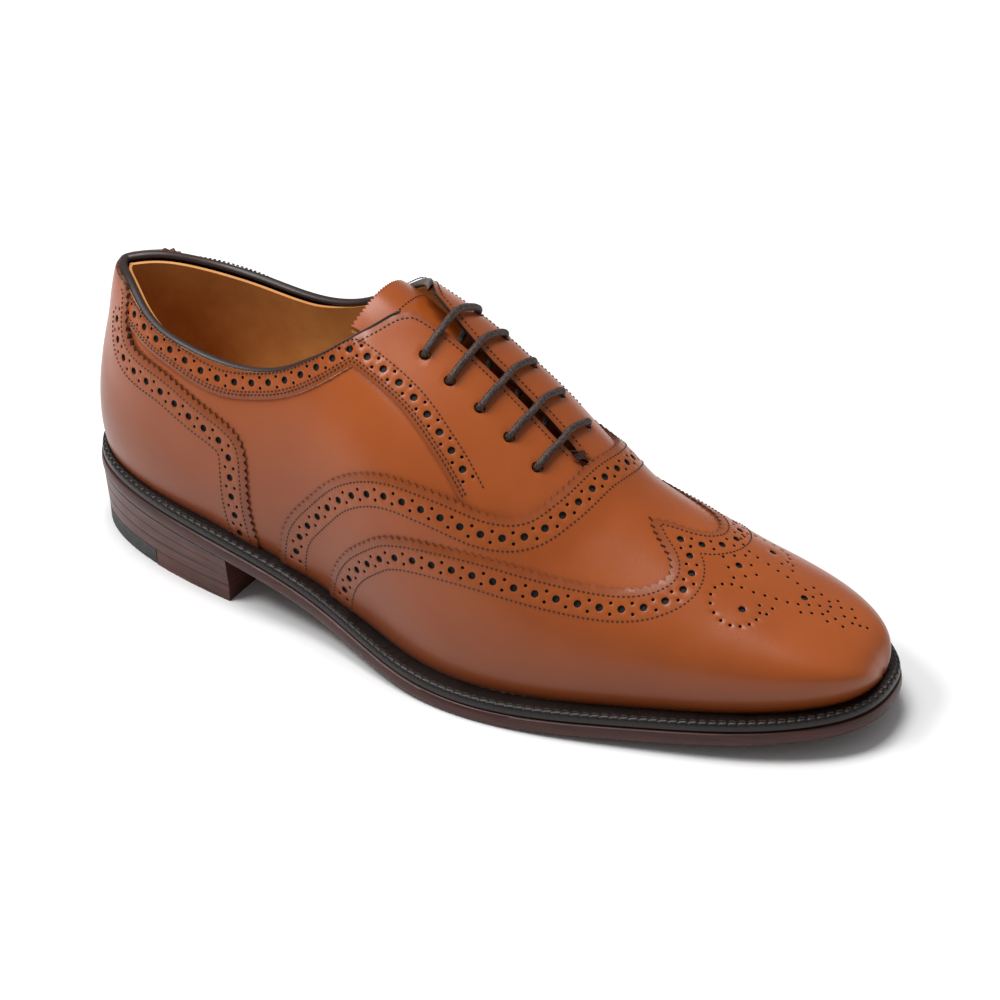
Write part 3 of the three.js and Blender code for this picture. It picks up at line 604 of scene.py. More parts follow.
def make_piece(name, points, faces, materials, replaces=(), body="shoe", face_slots=None,
               dye_and_painted_shade=None, merge=0.004):
    """A mesh piece from shoe millimetres that rides on a body and stands for CAD nodes."""
    mesh = bpy.data.meshes.new(name)
    mesh.from_pydata(shoe_to_frame(points).tolist(), [], faces)
    for material in materials:
        mesh.materials.append(material)
    if face_slots is not None:
        mesh.polygons.foreach_set("material_index", face_slots)
    # Point attribute for the panels' darker colour: darker dye at the cut edges and painted shade
    # towards the welt.
    if dye_and_painted_shade is not None:
        layer = mesh.attributes.new("dye_and_painted_shade", "FLOAT", "POINT")
        layer.data.foreach_set("value", np.asarray(dye_and_painted_shade, float))
    tidy(mesh, merge * MM)
    piece = bpy.data.objects.new(name, mesh)
    bpy.context.scene.collection.objects.link(piece)
    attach(piece, body)
    if replaces:
        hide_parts(*replaces)
    return piece


def tidy(mesh, merge):
    """Joins doubled points, turns faces outward, and keeps only real corners sharp."""
    work = bmesh.new()
    work.from_mesh(mesh)
    bmesh.ops.remove_doubles(work, verts=work.verts, dist=merge)
    bmesh.ops.dissolve_degenerate(work, edges=work.edges, dist=merge / 4)
    bmesh.ops.recalc_face_normals(work, faces=work.faces)
    for face in work.faces:
        face.smooth = True
    for edge in work.edges:
        if len(edge.link_faces) == 2 and edge.calc_face_angle(0) > SHARP:
            edge.smooth = False
    work.to_mesh(mesh)
    work.free()
    mesh.update()


def rings_to_faces(count, rings, closed=True, cap=True, start=0):
    """Faces between rings of count points each, with the two ends filled."""
    faces = []
    last = count if closed else count - 1
    for i in range(rings - 1):
        for k in range(last):
            a = start + i * count + k
            b = start + i * count + (k + 1) % count
            faces.append((a, b, b + count, a + count))
    if cap:
        faces.append(tuple(start + k for k in reversed(range(count))))
        faces.append(tuple(start + (rings - 1) * count + k for k in range(count)))
    return faces


def tube_points(path, radius, sides):
    """Rings of points round a path, which turn as little as possible."""
    ahead = unit(np.gradient(path, axis=0))
    reference = np.array([0, 0, 1.0])
    rings = []
    for p, d in zip(path, ahead):
        a = unit(reference - d * reference.dot(d))
        reference = a
        b = np.cross(d, a)
        turn = np.arange(sides) * 2 * math.pi / sides
        ring = p + radius * (np.cos(turn)[:, None] * a + np.sin(turn)[:, None] * b)
        rings.append(ring)
    return np.concatenate(rings)


# ---- The lace: one cord, repeated from the CAD model ------
LACE_BAR = [(0.05, 1.15), (0.2, 1.75), (0.5, 1.8), (0.85, 1.95)]
TAIL_OUTER = [
    (6.9, 0.2, -9), (6.5, 0.2, -9), (6.1, 0.19, -9), (5.7, 0.2, -9), (5.35, 0.24, -9),
    (5.1, 0.33, -8.5), (4.95, 0.45, -7.5), (4.85, 0.57, -6.5), (4.75, 0.68, -5.7),
    (4.67, 0.78, -5.3), (4.63, 0.86, -5.1),
]
TAIL_INNER = [
    (5.7, 0.79, -5.1), (5.72, 0.72, -5.4), (5.77, 0.62, -6.2), (5.85, 0.51, -7.5),
    (5.97, 0.4, -8.5), (6.15, 0.31, -9), (6.4, 0.26, -9.2), (6.7, 0.24, -10), (7.0, 0.23, -11),
]


def lace_route():
    """From the outer tail over five straight bars, crossing under each gap, to the inner tail."""
    spots = [(-1, q, v, h) for q, v, h in TAIL_OUTER]
    pairs = list(zip(EYELETS[-1], EYELETS[1]))
    for i, ((q1, v1), (q2, v2)) in enumerate(pairs):
        spots += [(-1, q1, v1, h) for h in (-4.2, -2, -0.3)]
        spots += [(-1, q1, v1 + (1 - v1) * t, h) for t, h in LACE_BAR]
        spots += [(1, q2, v2 + (1 - v2) * t, h) for t, h in reversed(LACE_BAR)]
        spots += [(1, q2, v2, h) for h in (-0.3, -2, -4.2)]
        if i == len(pairs) - 1:
            break
        q3, v3 = EYELETS[-1][i + 1]
        for t in (0.1, 0.3, 0.5, 0.7, 0.9):
            w = (1 - v2) * (1 - t) + (v3 - 1) * t
            spots.append((-1 if w < 0 else 1, q2 + (q3 - q2) * t, 1 - abs(w), -UNDER_RUN))
    spots += [(1, q, v, h) for q, v, h in TAIL_INNER]
    side, q, v, height = np.array(spots, float).T
    return on_last(side, q, v, height)


def smooth_path(spots, spacing):
    knots = lengths_along(spots)
    curve = natural_spline(knots, spots)
    return curve(np.linspace(0, knots[-1], int(knots[-1] / spacing)))


def make_lace():
    path = smooth_path(lace_route(), 0.7)
    length = np.linalg.norm(np.diff(path, axis=0), axis=1).sum()
    sides = 14
    points = tube_points(path, LACE_D / 2, sides)
    lace = make_piece("lace", points, rings_to_faces(sides, len(path)), [LACE],
                      ["shoelace"])
    for name, end, before in (("aglet_outer", path[0], path[1]), ("aglet_inner", path[-1], path[-2])):
        make_aglet(name, end, unit(end - before))
    tuple(shoe_to_frame(path[0]))
    [tuple(p) for p in shoe_to_frame(path[::4])]


def make_aglet(node, end, ahead):
    """A film tube rolled round the last of the braid, a little waisted by its crimps."""
    along = np.array([0.35, 0.5, 0.9, 4, 4.6, 5.2, 10, 10.6, 11.2, 19, 19.7, 20.1])
    radius = np.array([0.9, 1.3, 1.4, 1.4, 1.28, 1.4, 1.4, 1.28, 1.4, 1.36, 1.2, 0.7])
    path = end + along[:, None] * ahead
    rings = tube_points(path, 1.0, 20).reshape(len(path), 20, 3)
    rings = path[:, None] + (rings - path[:, None]) * radius[:, None, None]
    return make_piece(node + "_film", rings.reshape(-1, 3), rings_to_faces(20, len(path)), [AGLET],
                      [node])


make_lace()


# ---- Leather panels ---------------------------------------
TOOTH = 2.7          # pitch of the pinked edge
TOOTH_DEPTH = 1.2
ROW_EDGE = 2.6       # edge of a panel to its first row of stitches
ROW_HOLES = 6.7      # edge to the middle of the punched holes
ROW_FAR = 10.8       # edge to the far row of stitches
HOLE_PITCH = 7.0
HOLE_R = 1.25
SMALL_HOLE_R = 0.58
HOLE_DEPTH = 0.95
SMALL_HOLE_SPREAD = 1.75  # from the middle of the holes to each small one
GRID = 1.9           # spacing of a panel's inner points
EDGE_BEVEL = 0.22    # how far the leather is rounded down at a cut edge
HOLE_BEVEL = 0.12    # and round a hole
MOST_LIFT = 0.9      # of the back of a raised edge
BAND_HOLES = 5.494   # the facing's holes lie closer to its edge
TOP_ROW = 2.2        # stitches along the topline and the throat
BAND_ROWS = (1.5, 2.6, 8.6)
UNDERLAP = 4.875     # how far the vamp runs on under the cap


def circle(centre, radius, count, kind):
    """Chart points round a chart point, radius in millimetres."""
    here = np.repeat(centre[None], count, axis=0)
    first = surface_frame(centre[None], kind)[0][0]
    out = last_normal(*read_chart(centre[None], kind))[0]
    ahead = unit(first)
    left = np.cross(out, ahead)
    turn = (np.arange(count) + 0.5) * 2 * math.pi / count
    around = radius * (np.cos(turn)[:, None] * ahead + np.sin(turn)[:, None] * left)
    return moved(here, around, kind)


def pinked(curve, outside, kind, depth=TOOTH_DEPTH):
    """A zigzag edge along a chart curve sampled at half teeth; outside is 1 for teeth to the left."""
    wave = np.where(np.arange(len(curve)) % 2 == 1, depth / 2, -depth / 2)
    wave[0] = wave[-1] = 0
    return beside(curve, outside * wave, kind)


class Panel:
    """A leather panel: an outline on the chart, punched holes and a raised edge."""

    def __init__(self, name, kind):
        self.name = name
        self.kind = kind
        self.edges = []
        self.raised = []
        self.sunk = []
        self.holes = []

    def edge(self, curve):
        """Adds the next stretch of the outline; the stretches join end to end."""
        self.edges.append(np.asarray(curve, float))

    def raise_along(self, curve, height, reach=20.0):
        """Lifts the panel by height (one number or one per point) near a chart curve."""
        place = on_chart(curve, np.zeros(len(curve)), self.kind)
        self.raised.append((place, np.broadcast_to(height, len(curve)), reach))

    def sink_near(self, curve, depth=0.9, start=1.5, reach=4.0):
        """Skives the panel down towards a hidden edge, so that the cover lies flat."""
        place = on_chart(curve, np.zeros(len(curve)), self.kind)
        self.sunk.append((place, depth, start, reach))

    def height(self, chart):
        place = on_chart(chart, np.zeros(len(chart)), self.kind)
        height = np.zeros(len(chart))
        for line, lift, reach in self.raised:
            distance, near = nearest(place, line)
            height = np.maximum(height, lift[near] * (1 - smooth((distance - 3) / reach)))
        for line, depth, start, reach in self.sunk:
            distance = nearest(place, line)[0]
            height = height - (height + depth) * (1 - smooth((distance - start) / reach))
        return height

    def build(self, materials, slot, replaces):
        """Triangulates the outline with its holes and makes the piece."""
        outline_points = np.concatenate([e[:-1] for e in self.edges])
        flat = outline_points * CHART_SCALE
        rings = []
        bevels = []
        for centre, radius, _ in self.holes:
            count = 16 if radius > 1 else 9
            rings.append(circle(centre, radius, count, self.kind) * CHART_SCALE)
            bevels.append(circle(centre, radius + 0.3, count, self.kind) * CHART_SCALE)
        inner = self.inner_points(flat, bevels)
        points = np.concatenate([flat, *rings, *bevels, inner])
        loops = []
        start = 0
        for ring in (flat, *rings):
            loop = list(range(start, start + len(ring)))
            loops.append(loop if turns_left(ring) else loop[::-1])
            start += len(ring)
        made, _, faces, source, _, _ = delaunay_2d_cdt([Vector(p) for p in points], [], loops, 1, 1e-6)
        chart = np.array([(p[0], p[1]) for p in made]) / CHART_SCALE
        place_of = {old: new for new, olds in enumerate(source) for old in olds}
        loops = [[place_of[old] for old in loop] for loop in loops]
        triangles = np.array([tuple(f) for f in faces if len(f) == 3])
        self.write(chart, triangles, loops, materials, slot, replaces)

    def inner_points(self, flat, bevels):
        """A staggered grid of points that keeps clear of the outline and the holes."""
        low, high = flat.min(axis=0), flat.max(axis=0)
        columns = np.arange(low[0] + GRID / 2, high[0], GRID)
        rows = np.arange(low[1] + GRID / 2, high[1], GRID * 0.9)
        grid = np.stack(np.meshgrid(columns, rows, indexing="ij"), -1)
        grid[:, :, 1] += (np.arange(len(columns)) % 2)[:, None] * GRID * 0.45
        grid = grid.reshape(-1, 2)
        grid = grid[inside(grid, flat)]
        grid = grid[nearest(grid, flat)[0] > GRID * 0.5]
        if bevels:
            grid = grid[nearest(grid, np.concatenate(bevels))[0] > GRID * 0.3]
        if self.holes:
            place = on_chart(grid / CHART_SCALE, np.zeros(len(grid)), self.kind)
            centres = np.array([c for c, _, _ in self.holes])
            radii = np.array([r for _, r, _ in self.holes])
            distance, near = nearest(place, on_chart(centres, np.zeros(len(centres)), self.kind))
            grid = grid[distance > radii[near] + 0.5]
        return grid

    def write(self, chart, triangles, loops, materials, slot, replaces):
        """Both faces, the cut edge and the walls and floors of the holes; the walls and floors take the
        near-black hole material, painted shade.
        """
        height = self.height(chart)
        top = height.copy()
        rim = np.array(loops[0])
        top[rim] -= EDGE_BEVEL
        for loop in loops[1:]:
            top[loop] -= HOLE_BEVEL
        count = len(chart)
        middle = on_chart(chart, np.zeros(count), self.kind)
        back_height = np.minimum(height, MOST_LIFT) - LEATHER
        points = [on_chart(chart, top, self.kind), on_chart(chart, back_height, self.kind)]
        in_hole = np.zeros(len(triangles), bool)
        through = np.zeros(len(triangles), bool)
        if self.holes:
            centres = np.array([c for c, _, _ in self.holes])
            distance, near = nearest(middle[triangles].mean(axis=1),
                                     on_chart(centres, np.zeros(len(centres)), self.kind))
            in_hole = distance < np.array([r for _, r, _ in self.holes])[near] * 0.95
            through = in_hole & np.array([t for _, _, t in self.holes])[near]
        faces = [tuple(t) for t in triangles[~in_hole]]
        slots = [0] * len(faces)
        faces += [tuple(t[::-1] + count) for t in triangles[~through]]
        faces += [(a, a + count, b + count, b) for a, b in zip(rim, np.roll(rim, -1))]
        slots += [1] * (len(faces) - len(slots))
        base = 2 * count
        for loop, hole in zip(loops[1:], self.holes):
            size = len(loop)
            if hole[2]:
                faces += [(loop[k], loop[k] + count, loop[(k + 1) % size] + count,
                           loop[(k + 1) % size]) for k in range(size)]
                continue
            # A dark floor a little below the face: painted shade where the panel underneath shows.
            floor = on_chart(chart[loop], height[loop] - HOLE_DEPTH, self.kind)
            points.append(floor.mean(axis=0) + (floor - floor.mean(axis=0)) * 0.9)
            for k in range(size):
                m = (k + 1) % size
                faces.append((loop[k], base + k, base + m, loop[m]))
            faces.append(tuple(base + k for k in range(size)))
            base += size
        slots += [2] * (len(faces) - len(slots))
        points = np.concatenate(points)
        dye_and_painted_shade = self.dye_and_painted_shade(chart, middle, middle[rim])
        dye_and_painted_shade = np.concatenate([dye_and_painted_shade, np.full(len(points) - count, 0.4)])
        make_piece(self.name, points, faces, materials, replaces, face_slots=slots, dye_and_painted_shade=dye_and_painted_shade)

    def dye_and_painted_shade(self, chart, place, rim):
        """Darker dye along the cut edges, and painted shade down to the welt."""
        share = np.clip(read_chart(chart, self.kind)[2], 0, 1)
        edge = 1 - 0.4 * np.exp(-((nearest(place, rim)[0] / 2.0) ** 2))
        # The second factor is painted shade, darker towards the lower edge of the panel.
        return edge * (1 - 0.55 * np.exp(-((share / 0.42) ** 2)))


def turns_left(ring):
    x, y = ring.T
    return (x * np.roll(y, -1) - y * np.roll(x, -1)).sum() > 0


def nearest(points, targets):
    """Distance from each point to the nearest target, and which one that is."""
    distance = np.empty(len(points))
    which = np.empty(len(points), int)
    for i in range(0, len(points), 2000):
        part = points[i:i + 2000]
        square = ((part ** 2).sum(1)[:, None] + (targets ** 2).sum(1)[None] - 2 * part @ targets.T)
        near = square.argmin(axis=1)
        which[i:i + 2000] = near
        distance[i:i + 2000] = np.sqrt(np.maximum(square[np.arange(len(part)), near], 0))
    return distance, which


def inside(points, polygon):
    """Which points lie inside a closed polygon."""
    result = np.zeros(len(points), bool)
    a = polygon
    b = np.roll(polygon, -1, axis=0)
    for (ax, ay), (bx, by) in zip(a, b):
        crosses = (ay > points[:, 1]) != (by > points[:, 1])
        if not crosses.any():
            continue
        x = ax + (points[:, 1] - ay) * (bx - ax) / (by - ay if by != ay else 1e-12)
        result ^= crosses & (points[:, 0] < x)
    return result


def straight(*corners, step=0.05):
    """Chart points along straight runs between corners."""
    run = []
    for a, b in zip(corners, corners[1:]):
        a, b = np.array(a, float), np.array(b, float)
        count = max(int(np.linalg.norm((b - a) * (1, 2)) / step), 1)
        run += [a + (b - a) * k / count for k in range(count)]
    return np.array([*run, corners[-1]])


# ---- Stitching: short waxed threads that lie along chart curves ---
PITCH = 1.6
THREAD_R = 0.25
THREAD_LIFT = 0.06   # of a stitch's middle over the leather


class Stitching:
    """Stitches of one panel, gathered into one piece."""

    def __init__(self, panel, length=1.0):
        self.panel = panel
        self.half = length / 2
        self.points = []
        self.faces = []

    def row(self, curve, ends=(1.0, 1.0)):
        kind = self.panel.kind
        spots = even(curve, PITCH, kind, ends)
        height = self.panel.height(spots)
        ahead, left, out = directions(spots, kind)
        self.threads(on_chart(spots, height + THREAD_LIFT, kind), ahead, left, out)

    def threads(self, centres, ahead, left, out):
        """Six-sided threads with tapered ends that dip into the leather."""
        base = sum(map(len, self.points))
        turn = np.arange(6) * math.pi / 3
        rings = []
        for along, size, dip in ((-1, 0.5, -0.22), (-0.6, 1, 0), (0.6, 1, 0), (1, 0.5, -0.22)):
            middle = centres + ahead * self.half * along + out * dip
            for t in turn:
                rings.append(middle + THREAD_R * size * (left * math.cos(t) + out * math.sin(t)))
        points = np.stack(rings, 1).reshape(-1, 3)
        self.points.append(points)
        one = rings_to_faces(6, 4)
        for i in range(len(centres)):
            self.faces += [tuple(k + base + 24 * i for k in face) for face in one]

    def make(self, name, body="shoe", material=None):
        return make_piece(name, np.concatenate(self.points), self.faces, [material or THREAD],
                          body=body, merge=0.0005)


# ---- Panels of the upper ----------------------------------
BELOW = -0.01  # panels end a little below the feather line, behind the welt
RAISE = 1.0    # how far a seam's edge stands over the panel under it
CAP_MATERIALS = [UPPER, CUT_EDGE, HOLE_SHADE]

PATTERN_START = np.array([217.4, -0.5])  # the toe pattern's axis, seen from above
PATTERN_AXIS = np.array([0.973, 0.232])
PATTERN_OUTER = np.array([0.232, -0.973])


def toe_spot(ahead, across):
    """The chart point of the toe at a place along and to the outer side of the pattern's axis."""
    target = PATTERN_START + ahead * PATTERN_AXIS + across * PATTERN_OUTER
    spot = np.array([[7.4, 0.05]])
    for _ in range(6):
        here = on_chart(spot, np.zeros(1), ACROSS)[0, :2]
        first, second = surface_frame(spot, ACROSS)
        step = np.linalg.solve(np.stack([first[0, :2], second[0, :2]], -1), target - here)
        spot = spot + step
    return spot[0]


def row_beside(half, distance):
    """A row beside the mirrored edge of the cap or the vamp, meeting itself at the middle."""
    row = to_middle(beside(half, -distance, ACROSS))
    return mirrored(even(row, 2.0, ACROSS))


def row_inside(edge, distance, kind):
    """A curve to the left of an edge, with the loops that a tight corner makes taken out."""
    row = beside(edge, distance, kind)
    place = on_chart(row, np.zeros(len(row)), kind)
    edge_place = on_chart(edge, np.zeros(len(edge)), kind)
    clear = nearest(place, edge_place)[0] > abs(distance) * 0.9
    return row[clear]


def make_wing_cap():
    half = even(as_chart(CAP_EDGE, ACROSS), TOOTH / 2, ACROSS)
    edge = mirrored(half)
    cap = Panel("wing_cap_leather", ACROSS)
    low = 1 - BELOW
    start_q = CAP_EDGE[0][0]
    cap.edge(straight(tuple(half[0]), (start_q, -low), (9.96, -low), (9.96, low), (start_q, low),
                      (start_q, -half[0][1])))
    cap.edge(pinked(edge, 1, ACROSS)[::-1])
    cap.raise_along(edge, RAISE)
    smooth_half = even(as_chart(CAP_EDGE, ACROSS), 2.0, ACROSS)
    punch_halves(cap, to_middle(beside(smooth_half, -ROW_HOLES, ACROSS)))
    make_medallion(cap)
    cap.build(CAP_MATERIALS, "upper_leather", ["wing_cap"])
    seam = Stitching(cap)
    for distance in (ROW_EDGE, ROW_FAR):
        seam.row(row_beside(smooth_half, distance))
    seam.make("wing_cap_stitches")


def brogue_row(curve, kind, start, stop):
    """Large holes along a chart curve, and after each one a pair of small ones."""
    steps = even(curve, HOLE_PITCH / 2, kind, ends=(start, stop))
    left = directions(steps, kind)[1]
    for i, spot in enumerate(steps):
        if i % 2 == 0:
            yield spot, HOLE_R
            continue
        for sign in (-1, 1):
            shift = left[i:i + 1] * SMALL_HOLE_SPREAD * sign
            yield moved(spot[None], shift, kind)[0], SMALL_HOLE_R


def punch_halves(panel, half):
    """Holes from the crest outwards on both halves, so that both sides match."""
    for i, (spot, radius) in enumerate(brogue_row(half[::-1], ACROSS, 0, 3)):
        panel.holes.append((spot, radius, False))
        if i:
            panel.holes.append((spot * (1, -1), radius, False))


SMALL_PITCH = 3.6  # between the small holes of the toe pattern
TOE_LARGE = [(28.7, 0), (35, 17.5), (35, -17.5), (50.6, 0)]
SCROLL = (32.5, 16.8)
SCROLL_RADIUS = 8.0
DIAMOND = [(23.4, 0), (26.2, 3.2), (29, 6.3), (31.9, 3.2), (34.7, 0)]
TOE_ROWS = [  # start, direction in degrees from the axis to the inner side, and number of holes
    ((41.5, 18.6), 75, 3), ((36.2, 8.4), 14, 4), ((49.8, 4.4), 33, 6), ((51.6, 7.6), 31, 6),
    ((60, 6.3), 30, 4),
]


def make_medallion(cap):
    """Punched pattern of the toe: two scrolls, a diamond, and rows that cross towards the tip."""
    half = list(DIAMOND)
    for k in range(14):
        turn = math.radians(-30 + 23 * k)
        half.append((SCROLL[0] + SCROLL_RADIUS * math.cos(turn),
                     SCROLL[1] + SCROLL_RADIUS * math.sin(turn)))
    for (ahead, across), degrees, count in TOE_ROWS:
        turn = math.radians(degrees)
        for k in range(count):
            run = SMALL_PITCH * k
            half.append((ahead + run * math.cos(turn), across - run * math.sin(turn)))
    half.append((71.5, 0))
    holes = [(ahead, across, HOLE_R) for ahead, across in TOE_LARGE]
    for ahead, across in half:
        for sign in (1, -1):
            spot = np.array((ahead, across * sign))
            if all(math.dist(spot, hole[:2]) > 2.0 for hole in holes):
                holes.append((*spot, SMALL_HOLE_R))
    for ahead, across, radius in holes:
        cap.holes.append((toe_spot(ahead, across), radius, False))


def make_vamp():
    half = even(as_chart(VAMP_EDGE, ACROSS), TOOTH / 2, ACROSS)
    edge = mirrored(half)
    cap_edge = even(as_chart(CAP_EDGE, ACROSS), 3, ACROSS)
    under_half = to_middle(beside(cap_edge, -UNDERLAP, ACROSS))
    under = mirrored(under_half)
    low = 1 - BELOW
    vamp = Panel("vamp_leather", ACROSS)
    vamp.edge(straight(tuple(half[0]), (half[0][0], -low), (under_half[0][0], -low),
                       tuple(under_half[0])))
    vamp.edge(under)
    vamp.edge(straight(tuple(under[-1]), (under[-1][0], low), (half[0][0], low),
                       (half[0][0], -half[0][1])))
    vamp.edge(pinked(edge, 1, ACROSS)[::-1])
    vamp.sink_near(under, start=0.5, reach=3.5)
    vamp.raise_along(edge, RAISE + 0.8 * smooth((edge[:, 0] - 4.9) / 0.5), reach=16)
    smooth_half = even(as_chart(VAMP_EDGE, ACROSS), 2.0, ACROSS)
    punch_halves(vamp, to_middle(beside(smooth_half, -ROW_HOLES, ACROSS)))
    vamp.build(CAP_MATERIALS, "upper_leather", ["vamp"])
    seam = Stitching(vamp)
    for distance in (ROW_EDGE, ROW_FAR):
        seam.row(row_beside(smooth_half, distance))
    seam.make("vamp_stitches")


def make_counter():
    half = even(as_chart(COUNTER_EDGE[::-1], HEEL), TOOTH / 2, HEEL)
    bottom = half[0]
    top = [(-q, v + 0.002) for q, v in [(1.25, 0.716), (0.7, 0.725), (0, 0.727)]]
    top += [(-q, v) for q, v in top[-2::-1]]
    counter = Panel("counter_leather", HEEL)
    counter.edge(pinked(half, -1, HEEL))
    counter.edge(straight(tuple(half[-1]), *top, (-half[-1][0], half[-1][1])))
    counter.edge(pinked(half * (-1, 1), 1, HEEL)[::-1])
    counter.edge(straight((-bottom[0], bottom[1]), (-bottom[0], BELOW), (bottom[0], BELOW),
                          tuple(bottom)))
    over_collar = smooth((half[:, 1] - 0.5) / 0.06)
    for flip in (1, -1):
        counter.raise_along(half * (flip, 1), RAISE + 0.75 * over_collar)
    smooth_half = even(as_chart(COUNTER_EDGE[::-1], HEEL), 2.0, HEEL)
    for flip in (1, -1):
        row = row_inside(smooth_half, ROW_HOLES, HEEL) * (flip, 1)
        counter.holes += [(spot, radius, False) for spot, radius in brogue_row(row, HEEL, 3, 3)]
    counter.build(CAP_MATERIALS, "upper_leather", ["counter"])
    seam = Stitching(counter)
    for distance in (ROW_EDGE, ROW_FAR):
        for flip in (1, -1):
            seam.row(row_inside(smooth_half, distance, HEEL) * (flip, 1), ends=(1, 2))
    seam.make("counter_stitches")


# Hidden stretches of the quarter's outline, under the counter, collar, facing and vamp.
QUARTER_OUTLINE = [
    (3.1, BELOW), (3.64, BELOW), (3.7, 0.15), (3.85, 0.24), (4.1, 0.34), (4.4, 0.42), (4.75, 0.48),
    (5.1, 0.51), (5.45, 0.535), (5.55, 0.575), (5.45, 0.63), (5.25, 0.69), (5, 0.745), (4.7, 0.785),
    (4.35, 0.815), (4.05, 0.825), (3.84, 0.735), (3.6, 0.68), (3.3, 0.62), (2.9, 0.575), (2.5, 0.585),
    (2.1, 0.605), (1.7, 0.645), (1.35, 0.64), (1.45, 0.54), (1.7, 0.48), (2.2, 0.455), (2.6, 0.405),
    (2.85, 0.365), (2.98, 0.32), (3.02, 0.2),
]
FACING_UNDER_VAMP = [(5.6, 0.575), (5.85, 0.62), (6, 0.7), (6.1, 0.8), (6.1, 0.94)]


def make_quarter(side, label):
    """The plain side panel: all its edges lie hidden under its neighbours."""
    quarter = Panel(f"quarter_{label}_leather", side)
    corners = as_chart(QUARTER_OUTLINE, side)
    quarter.edge(straight(*corners, corners[0]))
    quarter.sink_near(straight(*corners[2:]), start=2.5)
    quarter.build(CAP_MATERIALS, "upper_leather", [f"quarter_{label}"])


def make_facing(side, label):
    """The eyelet stay and the band under the topline, cut as one visible panel."""
    facing = Panel(f"facing_{label}_leather", side)
    lower = even(as_chart([(1.1, 0.6), *COLLAR_LOW], side), 2.0, side)
    rear = even(as_chart(FACING_REAR, side), 2.0, side)
    throat = even(as_chart(THROAT, side), 2.0, side)
    top = even(as_chart([(1.1, 0.722), *TOPLINE[2:]], side), 2.0, side)
    under = as_chart([*FACING_UNDER_VAMP, THROAT[-1]], side)
    facing.edge(lower)
    facing.edge(rear)
    facing.edge(straight(tuple(rear[-1]), *under))
    facing.edge(throat[::-1])
    facing.edge(straight(tuple(throat[0]), tuple(top[-1])))
    facing.edge(top[::-1])
    facing.edge(straight(tuple(top[0]), tuple(lower[0])))
    edge = np.concatenate([lower, rear[1:]])
    facing.raise_along(edge, 0.85, reach=14)
    facing.sink_near(under, start=0.5, reach=3)
    # Left of this edge is inside the panel on the outer half and outside it on the inner half.
    own = 1 if side < 0 else -1
    band = row_inside(edge, own * BAND_HOLES, side)
    facing.holes += [(spot, radius, False) for spot, radius in brogue_row(band, side, 8, 6)]
    for q, v in EYELETS[side]:
        facing.holes.append((as_chart([(q, v)], side)[0], EYELET_R, True))
    # The cut edge is pale on the outer half as painted highlight, and dark, in the binding's leather, on
    # the inner half as painted shade.
    facing.build([BAND, PALE_EDGE_HIGHLIGHT if side < 0 else BINDING, HOLE_SHADE], "band_leather",
                 [f"facing_{label}", f"collar_band_{label}"])
    seam = Stitching(facing)
    for distance in BAND_ROWS:
        seam.row(row_inside(edge, own * distance, side), ends=(6, 2))
    corner = np.concatenate([top[top[:, 0] > 3.95], throat[2:]])
    seam.row(beside(corner, own * -TOP_ROW, side), ends=(1, 4))
    seam.make(f"facing_{label}_stitches")


make_wing_cap()
make_vamp()
make_counter()
for side, label in SIDES:
    make_quarter(side, label)
    make_facing(side, label)


# ---- Linings, binding, tongue -----------------------------
def lining_depth(q, v):
    """Depth of the lining's face, behind the stiffeners at both ends of the shoe."""
    at_ends = 1 - smooth((q - 2.9) / 0.4) + smooth((q - 7.2) / 0.5)
    under_facing = smooth((v - 0.66) / 0.12) * smooth((q - 3.6) / 0.4)
    return LEATHER + LAYER_GAP + (STIFFENER + LAYER_GAP) * at_ends - 0.1 * under_facing


def plate_points(rows, columns, at):
    """A grid of points at(s, t, behind) for both faces, and the faces that close it."""
    s, t = [share.ravel() for share in np.meshgrid(np.linspace(0, 1, rows + 1),
                                                   np.linspace(0, 1, columns + 1), indexing="ij")]
    points = np.concatenate([at(s, t, False), at(s, t, True)])
    wide = columns + 1
    size = (rows + 1) * wide
    faces = []
    for i in range(rows):
        for j in range(columns):
            a = i * wide + j
            faces.append((a, a + 1, a + wide + 1, a + wide))
            faces.append((a + size, a + wide + size, a + wide + 1 + size, a + 1 + size))
    rim = [j for j in range(columns)] + [i * wide + columns for i in range(rows)]
    rim += [rows * wide + columns - j for j in range(columns)] + [(rows - i) * wide for i in range(rows)]
    faces += [(a, b, b + size, a + size) for a, b in zip(rim, rim[1:] + rim[:1])]
    return points, faces


def make_quarter_lining(side, label):
    top = even(as_chart(TOPLINE, side), 1.0, side)
    throat = even(as_chart(THROAT, side), 1.0, side)
    rim = np.concatenate([top, throat[1:]])
    rim_q = rim[:, 0]
    rim_v = 1 - np.abs(rim[:, 1])

    def at(s, t, behind):
        q = 5.88 * s
        top = np.interp(q, rim_q, rim_v) - 0.006 - 0.04 * smooth((q - 4.2) / 0.2)
        v = 0.02 + (top - 0.02) * t
        return on_last(side, q, v, -lining_depth(q, v) - (LINING if behind else 0))

    points, faces = plate_points(90, 36, at)
    make_piece(f"quarter_lining_{label}_leather", points, faces, [CAMEL],
               [f"quarter_lining_{label}"])


ROLL_DEPTH = 1.35  # of the binding's middle below the outer face, and its half width and height
ROLL_WIDE = 1.55
ROLL_UP = 1.1
ROLL_LIFT = 0.35   # of the binding's middle over the topline


